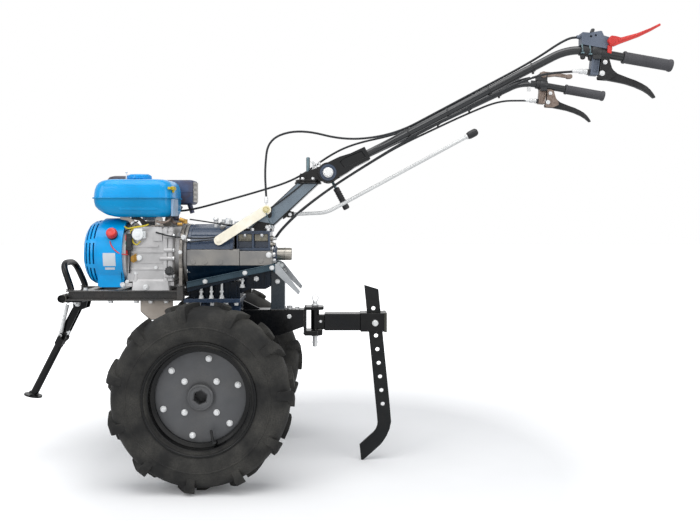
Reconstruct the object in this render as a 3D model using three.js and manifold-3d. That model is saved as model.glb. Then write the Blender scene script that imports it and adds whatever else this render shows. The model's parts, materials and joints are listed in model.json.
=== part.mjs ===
/**
 * Two-wheeled walking tractor: petrol engine, gearbox, reversible handlebar,
 * front stand and rear hitch with a depth coulter.
 *
 * Millimetres. +X is the machine's front, +Y its left, +Z up. The pieces are
 * placed from the axle line (x = 0) and the ground (z = 0); the last lines move
 * the whole group so that its origin is the middle of its footprint.
 */
import * as THREE from 'three';
import { mergeVertices } from 'three/addons/utils/BufferGeometryUtils.js';
import Module from 'manifold-3d';

const wasm = await Module();
wasm.setup();

// ---------------------------------------------------------------- dimensions

/** Gap left between pieces that touch in the real machine. */
const SEAT = 0.3;

/** Gap between a turning pin and its hole, measured from circle to circle. */
const PIN_GAP = 0.8;

// Wheels
const TRACK = 560;
const TYRE_RADIUS = 280;
const TYRE_WIDTH = 134;
const BEAD_RADIUS = 152.4;
const RIM_WIDTH = 102;
const RIM_FLANGE = 16;
const RIM_WALL = 4;
const DISC_THICKNESS = 6;
const DISC_OFFSET = 14;
const HUB_RADIUS = 39;
const HUB_FLANGE_RADIUS = 84;
const HUB_PROUD = 12;
const HUB_LENGTH = 95;
const HUB_SOCKET = 45;
const AXLE_ACROSS_FLATS = 37.5;
const WHEEL_SIDES = 36;

// Driveline
const AXLE_HEIGHT = TYRE_RADIUS;
const CRANK_HEIGHT = 688;
const JOURNAL_RADIUS = 19.5;
const AXLE_HOUSING_END = 130;
const FINAL_DRIVE_HALF = 55;
const FINAL_DRIVE_TOP = 548;
const GEARBOX_FRONT = 79.7;
const GEARBOX_REAR = -195;
const GEARBOX_RADIUS = 99;
const GEARBOX_HALF = 96;
const GEARBOX_FLAT_LOW = 655;
const GEARBOX_FLAT_HIGH = 709;
const GEARBOX_SHELF = 787;
const GEARBOX_STEP_X = -70;
const GEARBOX_EDGE_FRONT = 592;
const GEARBOX_EDGE_RISE = 68;
const SELECTOR_BASE = 703;
const SELECTOR_TOP = 768;
const SELECTOR_FRONT = -78;
const SELECTOR_REAR = -187;
const SUMP_FRONT = 78;
const SUMP_REAR = -88;
const SIDE_BAR_THICKNESS = 6;
const BELL_THICKNESS = 25;
const BELL_RADIUS = 105;
const PTO_RADIUS = 21.25;
const PTO_LENGTH = 60;
const PTO_HEIGHT = 690;
const BELL_FRONT = GEARBOX_FRONT + SEAT + BELL_THICKNESS;

// Engine
const ENGINE_BASE = 576;
const ENGINE_HALF = 92;
const CRANKCASE_FRONT = 276;
const CRANKCASE_REAR = 124;
const CRANKCASE_TOP = 782;
const CRANKCASE_FOOT = 34;
const CYLINDER_TOP = 800;
const CYLINDER_END = 190;
const SHROUD_RADIUS = 114;
const SHROUD_FRONT = 419;
const SHROUD_CENTRE = CRANK_HEIGHT + 8;
const SWITCH_X = 318;
const SWITCH_DEG = 31;
const TANK_LENGTH = 259;
const TANK_WIDTH = 200;
const TANK_BOTTOM = 813;
const TANK_HEIGHT = 125;
const TANK_FRONT = 389;
const TANK_WALL = 5;
const CAP_RADIUS = 40;
const CAP_X = 256;
const SIDE_BOX_END = 205;
const SIDE_BOX_LOW = 857;
const SIDE_BOX_GAP = 8;
const BRACKET_LOW_Y = 52;
const BRACKET_HIGH_Y = 72;

// Front frame
const RAIL_TOP = 575;
const RAIL_HEIGHT = 33;
const RAIL_WIDTH = 30;
const RAIL_SPACING = 150;
const RAIL_WALL = 4;
const CROSS_TUBE_X = 485;
const CROSS_TUBE_Z = RAIL_TOP - 26;
const CROSS_TUBE_RADIUS = 12.5;
const RAIL_FRONT = CROSS_TUBE_X - CROSS_TUBE_RADIUS - SEAT;
const RAIL_UNDER = RAIL_TOP - RAIL_HEIGHT - SEAT;
const CROSS_TUBE_LENGTH = 190;
const HOOP_RADIUS = 10.5;
const HOOP_SPACING = 140;
const HOOP_TOP = 662;
const HOOP_LEAN = 26;
const HOOP_X = 461;

// Stand
const STAND_PIVOT_X = 456;
const STAND_PIVOT_Z = RAIL_TOP - RAIL_HEIGHT - 18;
const STAND_PIN_RADIUS = 6;
const STAND_LEAN_DEG = 27;
const STAND_LENGTH = 345;
const STAND_FOOT_TILT_DEG = 11;
const STAND_TUBE_RADIUS = 12.5;
const STAND_EYE_RADIUS = 11.5;
const STAND_CHANNEL = 34;
const STAND_CHANNEL_LENGTH = 150;
const SPRING_DOWN = 125;
const SPRING_Y = 30;
const SPRING_RADIUS = 6.5;

// Mast and handlebar
const MAST_HALF = 32;
const MAST_BASE_Z = SELECTOR_TOP + 8;
const MAST_TOP_Z = 925;
const MAST_BASE_X = -147;
const YAW_X = -309.5;
const MAST_DEPTH = 74;
const YAW_PLATE_RADIUS = 45;
const YAW_PLATE_THICKNESS = 5;
const YAW_PIN_RADIUS = 12;
const YAW_PIN_LENGTH = 30;
const TILT_X = -377;
const TILT_Z = 961;
const TONGUE_HALF = 23.7;
const FORK_HALF = 36;
const FORK_RADIUS = 34;
const TILT_PIN_RADIUS = 10;
const SOCKET_LENGTH = 146;
const SOCKET_SLOPE = 64 / 131;
const BAR_RADIUS = 12.5;
const BAR_START_Y = BAR_RADIUS + 3.5;
const BEND_X = -1100;
const BEND_Z = 1318;
const GRIP_X = -1258;
const GRIP_Z = 1290;
const LEVER_PIVOT_X = -1192;
const LEVER_DROP = 49.2;
const BAR_SPREAD = 550;
const GRIP_RADIUS = 17;
const GRIP_LENGTH = 147;
const GRIP_END = 12;
const HOUSING_HALF = 15;

// Linkage and cables
const CLUTCH_ARM_X = -178;
const CLUTCH_ARM_Y = 100;
const CLUTCH_ARM_Z = 837;
const CABLE_RADIUS = 3.5;
const CABLE_LIFT = BAR_RADIUS + 9.5;
const SHIFT_ROD_RADIUS = 6;
const SHIFT_ROD_LOW = 822;
const SHIFT_ROD_END = [-846, 0, 1085];
const KNOB_RADIUS = 13;

// Hitch and coulter
const HITCH_PIN_X = -333;
const HITCH_PIN_RADIUS = 8;
const HITCH_HALF = 28;
const HITCH_POST_FRONT = -187;
const HITCH_REAR = -297.5;
const HITCH_TOP = 506;
const HITCH_LOW = 420;
const CLEVIS_HALF = 32;
const CLEVIS_TOP = 515;
const CLEVIS_PLATE = 16;
const ARM_LOW = HITCH_LOW + CLEVIS_PLATE + 0.5;
const ARM_SIZE = 56;
const ARM_REAR = -485;
const COULTER_WIDTH = 46;
const COULTER_THICKNESS = 10;
const COULTER_X = -533;
const COULTER_TILT_DEG = 5.6;
const COULTER_HOLE_RADIUS = 6.75;
const COULTER_PITCH = 46;
const COULTER_Z = 462;
const COULTER_BOLT_RADIUS = 6;
const HOLDER_HALF = ARM_SIZE / 2 + 4;

// ----------------------------------------------------------------- materials

/** A plain stand-in finish. */
const finish = (color, roughness, metalness = 0) =>
  new THREE.MeshStandardMaterial({ color, roughness, metalness, flatShading: true });

const BLUE = finish(0x1da1dc, 0.3);
const BLACK = finish(0x17191c, 0.35, 0.1);
const CASTING = finish(0x39434d, 0.45, 0.3);
const ALUMINIUM = finish(0xb9b9b4, 0.5, 0.7);
const ZINC = finish(0xb8bcbf, 0.35, 0.85);
const STEEL = finish(0x8d8b86, 0.35, 0.9);
const CREAM = finish(0xe9e0bd, 0.5);
const RED = finish(0xcc2a2a, 0.4);
const RUBBER = finish(0x2e2f30, 0.85);
const GREY = finish(0x8992a0, 0.5);
const EXHAUST = finish(0x2c2723, 0.55, 0.4);

// ------------------------------------------------------------------- helpers

const AXIS_X = new THREE.Vector3(1, 0, 0);
const AXIS_Y = new THREE.Vector3(0, 1, 0);
const AXIS_Z = new THREE.Vector3(0, 0, 1);

const machine = new THREE.Group();

/** Adds one named piece to the machine. */
function piece(name, geometry, material) {
  const mesh = new THREE.Mesh(geometry, material);
  mesh.name = name;
  machine.add(mesh);
  return mesh;
}

/** A block given by its low and high corners. */
function block(low, high) {
  const size = high.map((value, i) => value - low[i]);
  const geometry = new THREE.BoxGeometry(...size);
  return geometry.translate(...low.map((value, i) => value + size[i] / 2));
}

/** A cylinder between two points. */
function rod(from, to, radius, sides = 16) {
  const start = new THREE.Vector3(...from);
  const end = new THREE.Vector3(...to);
  const geometry = new THREE.CylinderGeometry(radius, radius, start.distanceTo(end), sides);
  const turn = new THREE.Quaternion().setFromUnitVectors(AXIS_Y, end.clone().sub(start).normalize());
  geometry.applyQuaternion(turn);
  const middle = start.add(end).multiplyScalar(0.5);
  return geometry.translate(middle.x, middle.y, middle.z);
}

/** A plate drawn in the X-Z plane and spanning y from low to high. */
function profile(points, low, high) {
  const shape = new THREE.Shape(points.map(([x, z]) => new THREE.Vector2(x, z)));
  const geometry = new THREE.ExtrudeGeometry(shape, { depth: high - low, bevelEnabled: false });
  return geometry.rotateX(Math.PI / 2).translate(0, high, 0);
}

/** A plate drawn in the Y-Z plane and spanning x from low to high. */
function frontProfile(points, low, high) {
  const shape = new THREE.Shape(points.map(([y, z]) => new THREE.Vector2(y, z)));
  const geometry = new THREE.ExtrudeGeometry(shape, { depth: high - low, bevelEnabled: false });
  const turn = new THREE.Matrix4().makeBasis(AXIS_Y, AXIS_Z, AXIS_X);
  return geometry.applyMatrix4(turn).translate(low, 0, 0);
}

/** Points of an arc about a centre, from one angle to another in degrees. */
function arc([cx, cz], radius, fromDeg, toDeg, steps) {
  const points = [];
  for (let i = 0; i <= steps; i++) {
    const angle = THREE.MathUtils.degToRad(fromDeg + ((toDeg - fromDeg) * i) / steps);
    points.push([cx + radius * Math.cos(angle), cz + radius * Math.sin(angle)]);
  }
  return points;
}

/** A rectangle with rounded corners, as points. */
function roundedRectangle([low0, low1], [high0, high1], radius, steps = 3) {
  return [
    ...arc([high0 - radius, high1 - radius], radius, 0, 90, steps),
    ...arc([low0 + radius, high1 - radius], radius, 90, 180, steps),
    ...arc([low0 + radius, low1 + radius], radius, 180, 270, steps),
    ...arc([high0 - radius, low1 + radius], radius, 270, 360, steps),
  ];
}

/** A path through corner points whose corners are rounded by short curves. */
class BentPath extends THREE.Curve {
  constructor(corners, bend, steps = 4) {
    super();
    const knots = corners.map((corner) => new THREE.Vector3(...corner));
    this.points = [knots[0]];
    for (let i = 1; i < knots.length - 1; i++) {
      const corner = knots[i];
      const towards = (next) => corner.clone().lerp(next, Math.min(bend / corner.distanceTo(next), 0.48));
      const rounded = new THREE.QuadraticBezierCurve3(towards(knots[i - 1]), corner, towards(knots[i + 1]));
      this.points.push(...rounded.getPoints(steps));
    }
    this.points.push(knots[knots.length - 1]);
  }

  get steps() {
    return this.points.length - 1;
  }

  getPoint(t, target = new THREE.Vector3()) {
    const place = Math.min(t * this.steps, this.steps);
    const index = Math.min(Math.floor(place), this.steps - 1);
    return target.copy(this.points[index]).lerp(this.points[index + 1], place - index);
  }

  getPointAt(u, target) {
    return this.getPoint(u, target);
  }

  getTangent(t, target = new THREE.Vector3()) {
    const index = Math.round(t * this.steps);
    const before = this.points[Math.max(index - 1, 0)];
    const after = this.points[Math.min(index + 1, this.steps)];
    const here = this.points[index];
    const into = here.clone().sub(before).normalize();
    const out = after.clone().sub(here).normalize();
    return target.copy(into).add(out).normalize();
  }

  getTangentAt(u, target) {
    return this.getTangent(u, target);
  }
}

/** A solid bar of round section along a bent path. */
function tube(corners, radius, { bend = 60, steps = 4, sides = 12 } = {}) {
  const path = new BentPath(corners, bend, steps);
  const section = new THREE.Shape(
    Array.from({ length: sides }, (_, i) => {
      const angle = (2 * Math.PI * i) / sides;
      return new THREE.Vector2(radius * Math.cos(angle), radius * Math.sin(angle));
    }),
  );
  return new THREE.ExtrudeGeometry(section, { steps: path.steps, extrudePath: path, bevelEnabled: false });
}

/** A turned piece: a closed loop of [radius, along] points about the Y axis. */
function turned(loop, sides = WHEEL_SIDES) {
  const points = [...loop, loop[0]].map(([r, y]) => new THREE.Vector2(r / Math.cos(Math.PI / sides), y));
  return new THREE.LatheGeometry(points, sides, Math.PI / sides);
}

/** The closed solid of a geometry, ready to be joined or cut. */
function solid(geometry) {
  const bare = geometry.index ? geometry.toNonIndexed() : geometry.clone();
  for (const name of Object.keys(bare.attributes)) {
    if (name !== 'position') bare.deleteAttribute(name);
  }
  const merged = mergeVertices(bare, 1e-4);
  return new wasm.Manifold(
    new wasm.Mesh({
      numProp: 3,
      vertProperties: new Float32Array(merged.attributes.position.array),
      triVerts: new Uint32Array(merged.index.array),
    }),
  );
}

/** The geometry of a closed solid. */
function surface(manifold) {
  const mesh = manifold.getMesh();
  const geometry = new THREE.BufferGeometry();
  geometry.setAttribute('position', new THREE.BufferAttribute(mesh.vertProperties, 3));
  geometry.setIndex(new THREE.BufferAttribute(mesh.triVerts, 1));
  return geometry;
}

/** One solid from several that overlap. */
const join = (first, ...others) =>
  surface(others.reduce((whole, other) => whole.add(solid(other)), solid(first)));

/** The first solid without the others. */
const cut = (first, ...others) =>
  surface(others.reduce((whole, other) => whole.subtract(solid(other)), solid(first)));

/** What two solids share. */
const common = (first, other) => surface(solid(first).intersect(solid(other)));

const SIDES = [['left', 1], ['right', -1]];

// -------------------------------------------------------------------- wheels

/** Turns a piece built for the left wheel to face outwards and places it. */
function placeWheelPiece(geometry, sign) {
  if (sign < 0) geometry.rotateX(Math.PI);
  return geometry.translate(0, (sign * TRACK) / 2, AXLE_HEIGHT);
}

/** Tyre section turned about the axle, seated on the rim. */
function tyre() {
  const half = TYRE_WIDTH / 2;
  const seat = BEAD_RADIUS + SEAT;
  const bead = RIM_WIDTH / 2 - SEAT;
  const crown = [[TYRE_RADIUS, 0.62 * half], [TYRE_RADIUS - 9, 0.94 * half], [TYRE_RADIUS - 36, half]];
  const wall = [[TYRE_RADIUS - 75, 0.96 * half], [BEAD_RADIUS + RIM_FLANGE, bead]];
  const foot = [[seat, bead], [seat, bead - 16]];
  const inside = [[TYRE_RADIUS - 60, half - 14], [TYRE_RADIUS - 24, half - 26]];
  const outer = [...crown, ...wall, ...foot, ...inside];
  const mirrored = outer.map(([r, y]) => [r, -y]).reverse();
  return turned([...outer, ...mirrored]);
}

/** Drop-centre rim in one piece with its disc. */
function rim() {
  const edge = RIM_WIDTH / 2;
  const well = BEAD_RADIUS - 13;
  const lip = BEAD_RADIUS + RIM_FLANGE;
  const outside = [[lip, edge + RIM_WALL], [lip, edge], [BEAD_RADIUS, edge], [well, 24]];
  const inner = BEAD_RADIUS - RIM_WALL;
  const deep = well - RIM_WALL;
  const back = [[inner, -edge - RIM_WALL], [deep, -22], [deep, DISC_OFFSET - DISC_THICKNESS]];
  const disc = [[HUB_RADIUS + SEAT, DISC_OFFSET - DISC_THICKNESS], [HUB_RADIUS + SEAT, DISC_OFFSET]];
  const front = [[deep, DISC_OFFSET], [deep, 22], [inner, edge + RIM_WALL]];
  const mirrored = outside.map(([r, y]) => [r, -y]).reverse();
  return turned([...outside, ...mirrored, ...back, ...disc, ...front].reverse());
}

/** Wheel hub on its hexagonal half shaft, with an open hexagonal socket outside. */
function hub() {
  const face = DISC_OFFSET - DISC_THICKNESS - SEAT;
  const loop = [
    [0, -HUB_LENGTH], [HUB_RADIUS - 6, -HUB_LENGTH], [HUB_RADIUS - 6, face - 10],
    [HUB_FLANGE_RADIUS, face - 10], [HUB_FLANGE_RADIUS, face], [HUB_RADIUS, face],
    [HUB_RADIUS, DISC_OFFSET + HUB_PROUD], [0, DISC_OFFSET + HUB_PROUD],
  ].map(([r, y]) => new THREE.Vector2(r, y));
  const body = new THREE.LatheGeometry(loop, 24);
  const socket = hexagon(AXLE_ACROSS_FLATS, 2 * HUB_SOCKET).translate(0, DISC_OFFSET + HUB_PROUD, 0);
  const outer = -HUB_LENGTH + 5;
  const inner = AXLE_HOUSING_END + SEAT - TRACK / 2;
  const bar = hexagon(AXLE_ACROSS_FLATS, outer - inner).translate(0, (outer + inner) / 2, 0);
  const journal = rod([0, inner - 24, 0], [0, inner + 5, 0], JOURNAL_RADIUS, 24);
  return join(cut(body, socket), bar, journal);
}

/** A hexagonal bar about the Y axis. */
function hexagon(acrossFlats, length) {
  return new THREE.CylinderGeometry(acrossFlats / Math.sqrt(3), acrossFlats / Math.sqrt(3), length, 6);
}

function buildWheels() {
  for (const [side, sign] of SIDES) {
    piece(`tyre_${side}`, placeWheelPiece(tyre(), sign), RUBBER);
    piece(`rim_${side}`, placeWheelPiece(rim(), sign), BLACK);
    piece(`hub_${side}`, placeWheelPiece(hub(), sign), BLACK);
  }
}

// ----------------------------------------------------------------- driveline

/** Height of the gearbox's sloping lower edge at x. */
const gearboxEdge = (x) =>
  GEARBOX_EDGE_FRONT + ((GEARBOX_FRONT - x) * GEARBOX_EDGE_RISE) / (GEARBOX_FRONT - GEARBOX_REAR);

/** Round-topped gearbox with a flat band on each side, cut down for the selector block. */
function gearboxCase() {
  const [front, rear] = [GEARBOX_FRONT, GEARBOX_REAR];
  const barrel = rod([front, 0, CRANK_HEIGHT], [rear, 0, CRANK_HEIGHT], GEARBOX_RADIUS, 32);
  const flanks = block([rear, -GEARBOX_HALF, GEARBOX_FLAT_LOW], [front, GEARBOX_HALF, GEARBOX_FLAT_HIGH]);
  const knee = GEARBOX_FLAT_LOW + 5;
  const foot = knee - 100;
  const skirt = frontProfile([[-GEARBOX_HALF, knee], [-60, foot], [60, foot], [GEARBOX_HALF, knee]], rear, front);
  const outline = [
    [front, gearboxEdge(front)], [front, GEARBOX_SHELF], [GEARBOX_STEP_X, GEARBOX_SHELF],
    [GEARBOX_STEP_X, SELECTOR_BASE], [rear, SELECTOR_BASE], [rear, gearboxEdge(rear)],
  ];
  return common(join(barrel, flanks, skirt), profile(outline, -130, 130));
}

/** Gear selector cover with two pockets on its left side. */
function selectorBlock() {
  const body = block([SELECTOR_REAR, -45, SELECTOR_BASE + SEAT], [SELECTOR_FRONT, 68, SELECTOR_TOP]);
  const [low, high] = [SELECTOR_BASE + 9, SELECTOR_TOP - 10];
  const windows = [6, 59].map((along) => block([SELECTOR_REAR + along, 50, low],
    [SELECTOR_REAR + along + 46, 80, high]));
  return cut(body, ...windows);
}

/** Casting that joins the gearbox to the final drive and to the hitch post. */
function sump() {
  const edge = (x) => gearboxEdge(x) - SEAT;
  const [front, back, tail] = [SUMP_FRONT, SUMP_REAR, SUMP_REAR - 32];
  const flange = profile([[front, edge(front) - 22], [front, edge(front)], [tail, edge(tail)],
    [tail, edge(tail) - 22]], -GEARBOX_HALF, GEARBOX_HALF);
  const base = FINAL_DRIVE_TOP + SEAT;
  const core = profile([[front, base], [front, edge(front) - 5], [back, edge(back) - 5], [back, base]], -50, 50);
  const end = HITCH_POST_FRONT + SEAT;
  const rear = profile([[tail + 5, 602], [tail + 5, edge(tail + 5)], [end, edge(end)], [end, 575]], -36, 36);
  return join(flange, core, rear);
}

/** Final drive case with its two axle housings, bored for the half shafts. */
function finalDrive() {
  const plate = block([-91, -84, FINAL_DRIVE_TOP - 13], [92, 84, FINAL_DRIVE_TOP]);
  const sides = arc([0, AXLE_HEIGHT], 78, 20, -200, 14);
  const [waist, top] = [AXLE_HEIGHT + 130, FINAL_DRIVE_TOP - 5];
  const web = profile([[88, top], [88, waist], ...sides, [-88, waist], [-88, top]],
    -FINAL_DRIVE_HALF, FINAL_DRIVE_HALF);
  const across = (half, radius) => rod([0, -half, AXLE_HEIGHT], [0, half, AXLE_HEIGHT], radius, 24);
  const flanges = across(FINAL_DRIVE_HALF + 14, 68);
  const barrel = across(AXLE_HOUSING_END, 46);
  const bores = [-1, 1].map((sign) => rod([0, sign * (AXLE_HOUSING_END - 28), AXLE_HEIGHT],
    [0, sign * (AXLE_HOUSING_END + 5), AXLE_HEIGHT], JOURNAL_RADIUS + PIN_GAP, 24));
  return cut(join(plate, web, flanges, barrel), ...bores);
}

/** Zinc bar beside the gearbox, running back and bent down to a pointed tail. */
function sideBar(sign) {
  const points = [
    [78, 585], [78, 605], [-200, 663], [-222, 656], [-287, 574], [-282, 563], [-212, 628], [-196, 641],
  ];
  const near = GEARBOX_HALF + SEAT;
  const far = near + SIDE_BAR_THICKNESS;
  return sign > 0 ? profile(points, near, far) : profile(points, -far, -near);
}

function buildDriveline() {
  piece('gearbox_case', gearboxCase(), CASTING);
  piece('selector_block', selectorBlock(), CASTING);
  piece('gearbox_sump', sump(), CASTING);
  piece('final_drive_case', finalDrive(), CASTING);
  const bell = [[GEARBOX_FRONT + SEAT, 0, CRANK_HEIGHT], [BELL_FRONT, 0, CRANK_HEIGHT]];
  piece('bell_flange', rod(...bell, BELL_RADIUS, 32), BLACK);
  const stub = [[GEARBOX_REAR - SEAT, 0, PTO_HEIGHT], [GEARBOX_REAR - PTO_LENGTH, 0, PTO_HEIGHT]];
  piece('pto_shaft', rod(...stub, PTO_RADIUS, 24), STEEL);
  for (const [side, sign] of SIDES) {
    piece(`side_bar_${side}`, sideBar(sign), ZINC);
  }
}

// -------------------------------------------------------------------- engine

/** Crankcase with its mounting foot and the nose that meets the bell flange. */
function crankcase() {
  const side = ENGINE_HALF - 6;
  const body = block([CRANKCASE_REAR, -side, ENGINE_BASE + 28], [CRANKCASE_FRONT, side, CRANKCASE_TOP]);
  const foot = block([CRANKCASE_REAR + 13, -ENGINE_HALF, ENGINE_BASE],
    [CRANKCASE_FRONT - 18, ENGINE_HALF, ENGINE_BASE + CRANKCASE_FOOT]);
  const nose = rod([BELL_FRONT + SEAT, 0, CRANK_HEIGHT], [CRANKCASE_REAR + 16, 0, CRANK_HEIGHT], 72, 24);
  return join(body, foot, nose);
}

/** Blower housing with a tapered drum in front, hollow inside. */
function fanShroud() {
  const shoulder = SHROUD_FRONT - 55;
  const rear = CRANKCASE_FRONT + SEAT;
  const outline = [
    ...arc([0, SHROUD_CENTRE], SHROUD_RADIUS, -28, 208, 20),
    [-88, ENGINE_BASE + 14], [-88, ENGINE_BASE + 10], [88, ENGINE_BASE + 10], [88, ENGINE_BASE + 14],
  ];
  const housing = frontProfile(outline, rear, shoulder);
  const drum = new THREE.CylinderGeometry(84, 106, 58, 28).rotateZ(-Math.PI / 2);
  drum.translate(shoulder + 26, 0, CRANK_HEIGHT + 6);
  const hollow = rod([rear - 1, 0, CRANK_HEIGHT], [shoulder - 5, 0, CRANK_HEIGHT], 74, 24);
  return cut(join(housing, drum), hollow);
}

/** One half of the tank: a stack of rounded rectangles drawn inwards. */
function tankBody(inset) {
  const low = TANK_BOTTOM + inset;
  const high = TANK_BOTTOM + TANK_HEIGHT - inset;
  const rear = TANK_FRONT - TANK_LENGTH + inset;
  const front = TANK_FRONT - inset;
  const half = TANK_WIDTH / 2 - inset;
  const side = profile(
    [[rear + 8, low], [rear, low + 12], [rear, high - 26], [rear + 10, high - 7], [rear + 30, high],
      [front - 38, high], [front - 12, high - 10], [front, high - 40], [front - 2, low + 36],
      [front - 14, low + 26], [front - 66, low]], -half, half);
  const end = frontProfile(
    [[-half + 12, low], [-half, low + 16], [-half, high - 26], [-half + 12, high - 7], [-half + 34, high],
      [half - 34, high], [half - 12, high - 7], [half, high - 26], [half, low + 16], [half - 12, low]],
    rear - 5, front + 5);
  return common(side, end);
}

/** Hollow tank with a flange at mid height and an open neck. */
function fuelTank() {
  const seamHeight = TANK_BOTTOM + TANK_HEIGHT / 2;
  const proud = 4;
  const half = TANK_WIDTH / 2 + proud;
  const edge = roundedRectangle([TANK_FRONT - TANK_LENGTH - proud, -half], [TANK_FRONT + proud, half], 26);
  const shape = new THREE.Shape(edge.map(([x, y]) => new THREE.Vector2(x, y)));
  const seam = new THREE.ExtrudeGeometry(shape, { depth: 4, bevelEnabled: false });
  seam.translate(0, 0, seamHeight - 2);
  const top = TANK_BOTTOM + TANK_HEIGHT;
  const neck = rod([CAP_X, 0, top - 30], [CAP_X, 0, top + 20], CAP_RADIUS - 14, 20);
  return cut(join(tankBody(0), seam), tankBody(TANK_WALL), neck);
}

/** Fuel cap with its plug in the neck. */
function fuelCap() {
  const top = TANK_BOTTOM + TANK_HEIGHT;
  const plug = rod([CAP_X, 0, top - 8], [CAP_X, 0, top + 4], CAP_RADIUS - 15, 20);
  return join(rod([CAP_X, 0, top + SEAT], [CAP_X, 0, top + 18], CAP_RADIUS, 24), plug);
}

/** Both tank brackets, standing on one strip along the crankcase's top. */
function tankBrackets() {
  const low = CRANKCASE_TOP + SEAT;
  const high = TANK_BOTTOM - SEAT;
  const across = [BRACKET_LOW_Y, BRACKET_HIGH_Y];
  const front = profile([[262, low], [234, low], [280, high], [300, high], [273, high - 9]], ...across);
  const rear = profile([[186, low], [162, low], [164, high], [184, high]], ...across);
  return join(front, rear, block([162, BRACKET_LOW_Y, low], [262, BRACKET_HIGH_Y, low + 4]));
}

/** Silencer box beside the tank, with its pipe down to the cylinder. */
function muffler() {
  const near = -TANK_WIDTH / 2 - SIDE_BOX_GAP;
  const box = block([96, -SIDE_BOX_END, SIDE_BOX_LOW], [230, near, SIDE_BOX_LOW + 88]);
  const y = -CYLINDER_END + 40;
  const pipe = [[168, y, CYLINDER_TOP + SEAT], [168, y, CYLINDER_TOP + 26], [150, y, SIDE_BOX_LOW + 8]];
  return join(box, tube(pipe, 14, { bend: 12, sides: 10 }));
}

/** Air filter box beside the tank, with the carburettor under it. */
function airFilter() {
  const near = -TANK_WIDTH / 2 - SIDE_BOX_GAP;
  const box = block([262, -SIDE_BOX_END, SIDE_BOX_LOW], [398, near, SIDE_BOX_LOW + 100]);
  const end = -CYLINDER_END;
  return join(box, block([238, end + 4, CYLINDER_TOP + SEAT], [284, end + 50, SIDE_BOX_LOW + 1]));
}

function buildEngine() {
  piece('crankcase', crankcase(), ALUMINIUM);
  piece('fan_shroud', fanShroud(), BLUE);
  piece('fuel_tank', fuelTank(), BLUE);
  piece('fuel_cap', fuelCap(), BLUE);
  piece('tank_brackets', tankBrackets(), GREY);
  piece('cylinder_block', block([CRANKCASE_REAR + 10, -CYLINDER_END, CYLINDER_TOP - 100],
    [CRANKCASE_FRONT - 8, -ENGINE_HALF + 6 - SEAT, CYLINDER_TOP]), ALUMINIUM);
  piece('muffler', muffler(), EXHAUST);
  piece('air_filter', airFilter(), BLACK);
  const onShroud = (radius) => [SWITCH_X, ...arc([0, SHROUD_CENTRE], radius, SWITCH_DEG, SWITCH_DEG, 1)[0]];
  piece('stop_switch', rod(onShroud(SHROUD_RADIUS + SEAT), onShroud(SHROUD_RADIUS + 24), 16, 16), RED);
}

// --------------------------------------------------------------- front frame

/** Channel rail, open to the outside. */
function rail(sign) {
  const outer = (RAIL_SPACING + RAIL_WIDTH) / 2;
  const inner = (RAIL_SPACING - RAIL_WIDTH) / 2;
  const web = inner + RAIL_WALL;
  const low = RAIL_TOP - RAIL_HEIGHT;
  const section = [
    [outer, RAIL_TOP], [outer, RAIL_TOP - RAIL_WALL], [web, RAIL_TOP - RAIL_WALL],
    [web, low + RAIL_WALL], [outer, low + RAIL_WALL], [outer, low], [inner, low], [inner, RAIL_TOP],
  ].map(([y, z]) => [sign * y, z]);
  if (sign > 0) section.reverse();
  return frontProfile(section, 92 + SEAT, RAIL_FRONT);
}

/** Bumper hoop standing on both rails and leaning forwards. */
function hoop() {
  const foot = RAIL_TOP + SEAT;
  const half = HOOP_SPACING / 2;
  const leg = (side) => [[HOOP_X, side * half, foot], [HOOP_X, side * half, foot + 16],
    [HOOP_X + HOOP_LEAN, side * half * 0.85, HOOP_TOP]];
  return tube([...leg(1), ...leg(-1).reverse()], HOOP_RADIUS, { bend: 45, steps: 5, sides: 10 });
}

/** Plate under the rails with two ears and the pin that the stand turns on. */
function standBracket() {
  const [x, z, under] = [STAND_PIVOT_X, STAND_PIVOT_Z, RAIL_UNDER];
  const plate = block([x - 36, -88, under - 5], [x + 16, 88, under]);
  const inner = STAND_CHANNEL / 2 + 1;
  const outline = [[x - 34, under - 2], [x - 26, z - 14], [x - 8, z - 20], [x + 14, z - 12], [x + 16, under - 2]];
  const ears = [inner, -inner - 5].map((y) => profile(outline, y, y + 5));
  const pin = rod([x, -inner - 9, z], [x, inner + 9, z], STAND_PIN_RADIUS, 12);
  return join(plate, ...ears, pin);
}

/** Sheet plate hanging under the left rail, with its lower front corner cut off. */
function guardPlate() {
  const [top, low] = [RAIL_UNDER, RAIL_TOP - RAIL_HEIGHT - 65];
  const inner = (RAIL_SPACING - RAIL_WIDTH) / 2 + 2;
  return profile([[237, top], [237, low + 28], [205, low], [130, low], [130, top]], inner, inner + 3);
}

function buildFrontFrame() {
  for (const [side, sign] of SIDES) piece(`frame_rail_${side}`, rail(sign), BLACK);
  const end = CROSS_TUBE_LENGTH / 2;
  piece('front_cross_tube', rod([CROSS_TUBE_X, -end, CROSS_TUBE_Z], [CROSS_TUBE_X, end, CROSS_TUBE_Z],
    CROSS_TUBE_RADIUS, 16), BLACK);
  piece('front_hoop', hoop(), BLACK);
  piece('stand_bracket', standBracket(), BLACK);
  piece('guard_plate', guardPlate(), BLACK);
}

// --------------------------------------------------------------------- stand

/** Point on the stand: down the leg, and forward of it. */
function onStand(down, forward = 0) {
  const lean = THREE.MathUtils.degToRad(STAND_LEAN_DEG);
  return [
    STAND_PIVOT_X + down * Math.sin(lean) + forward * Math.cos(lean),
    STAND_PIVOT_Z - down * Math.cos(lean) + forward * Math.sin(lean),
  ];
}

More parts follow.
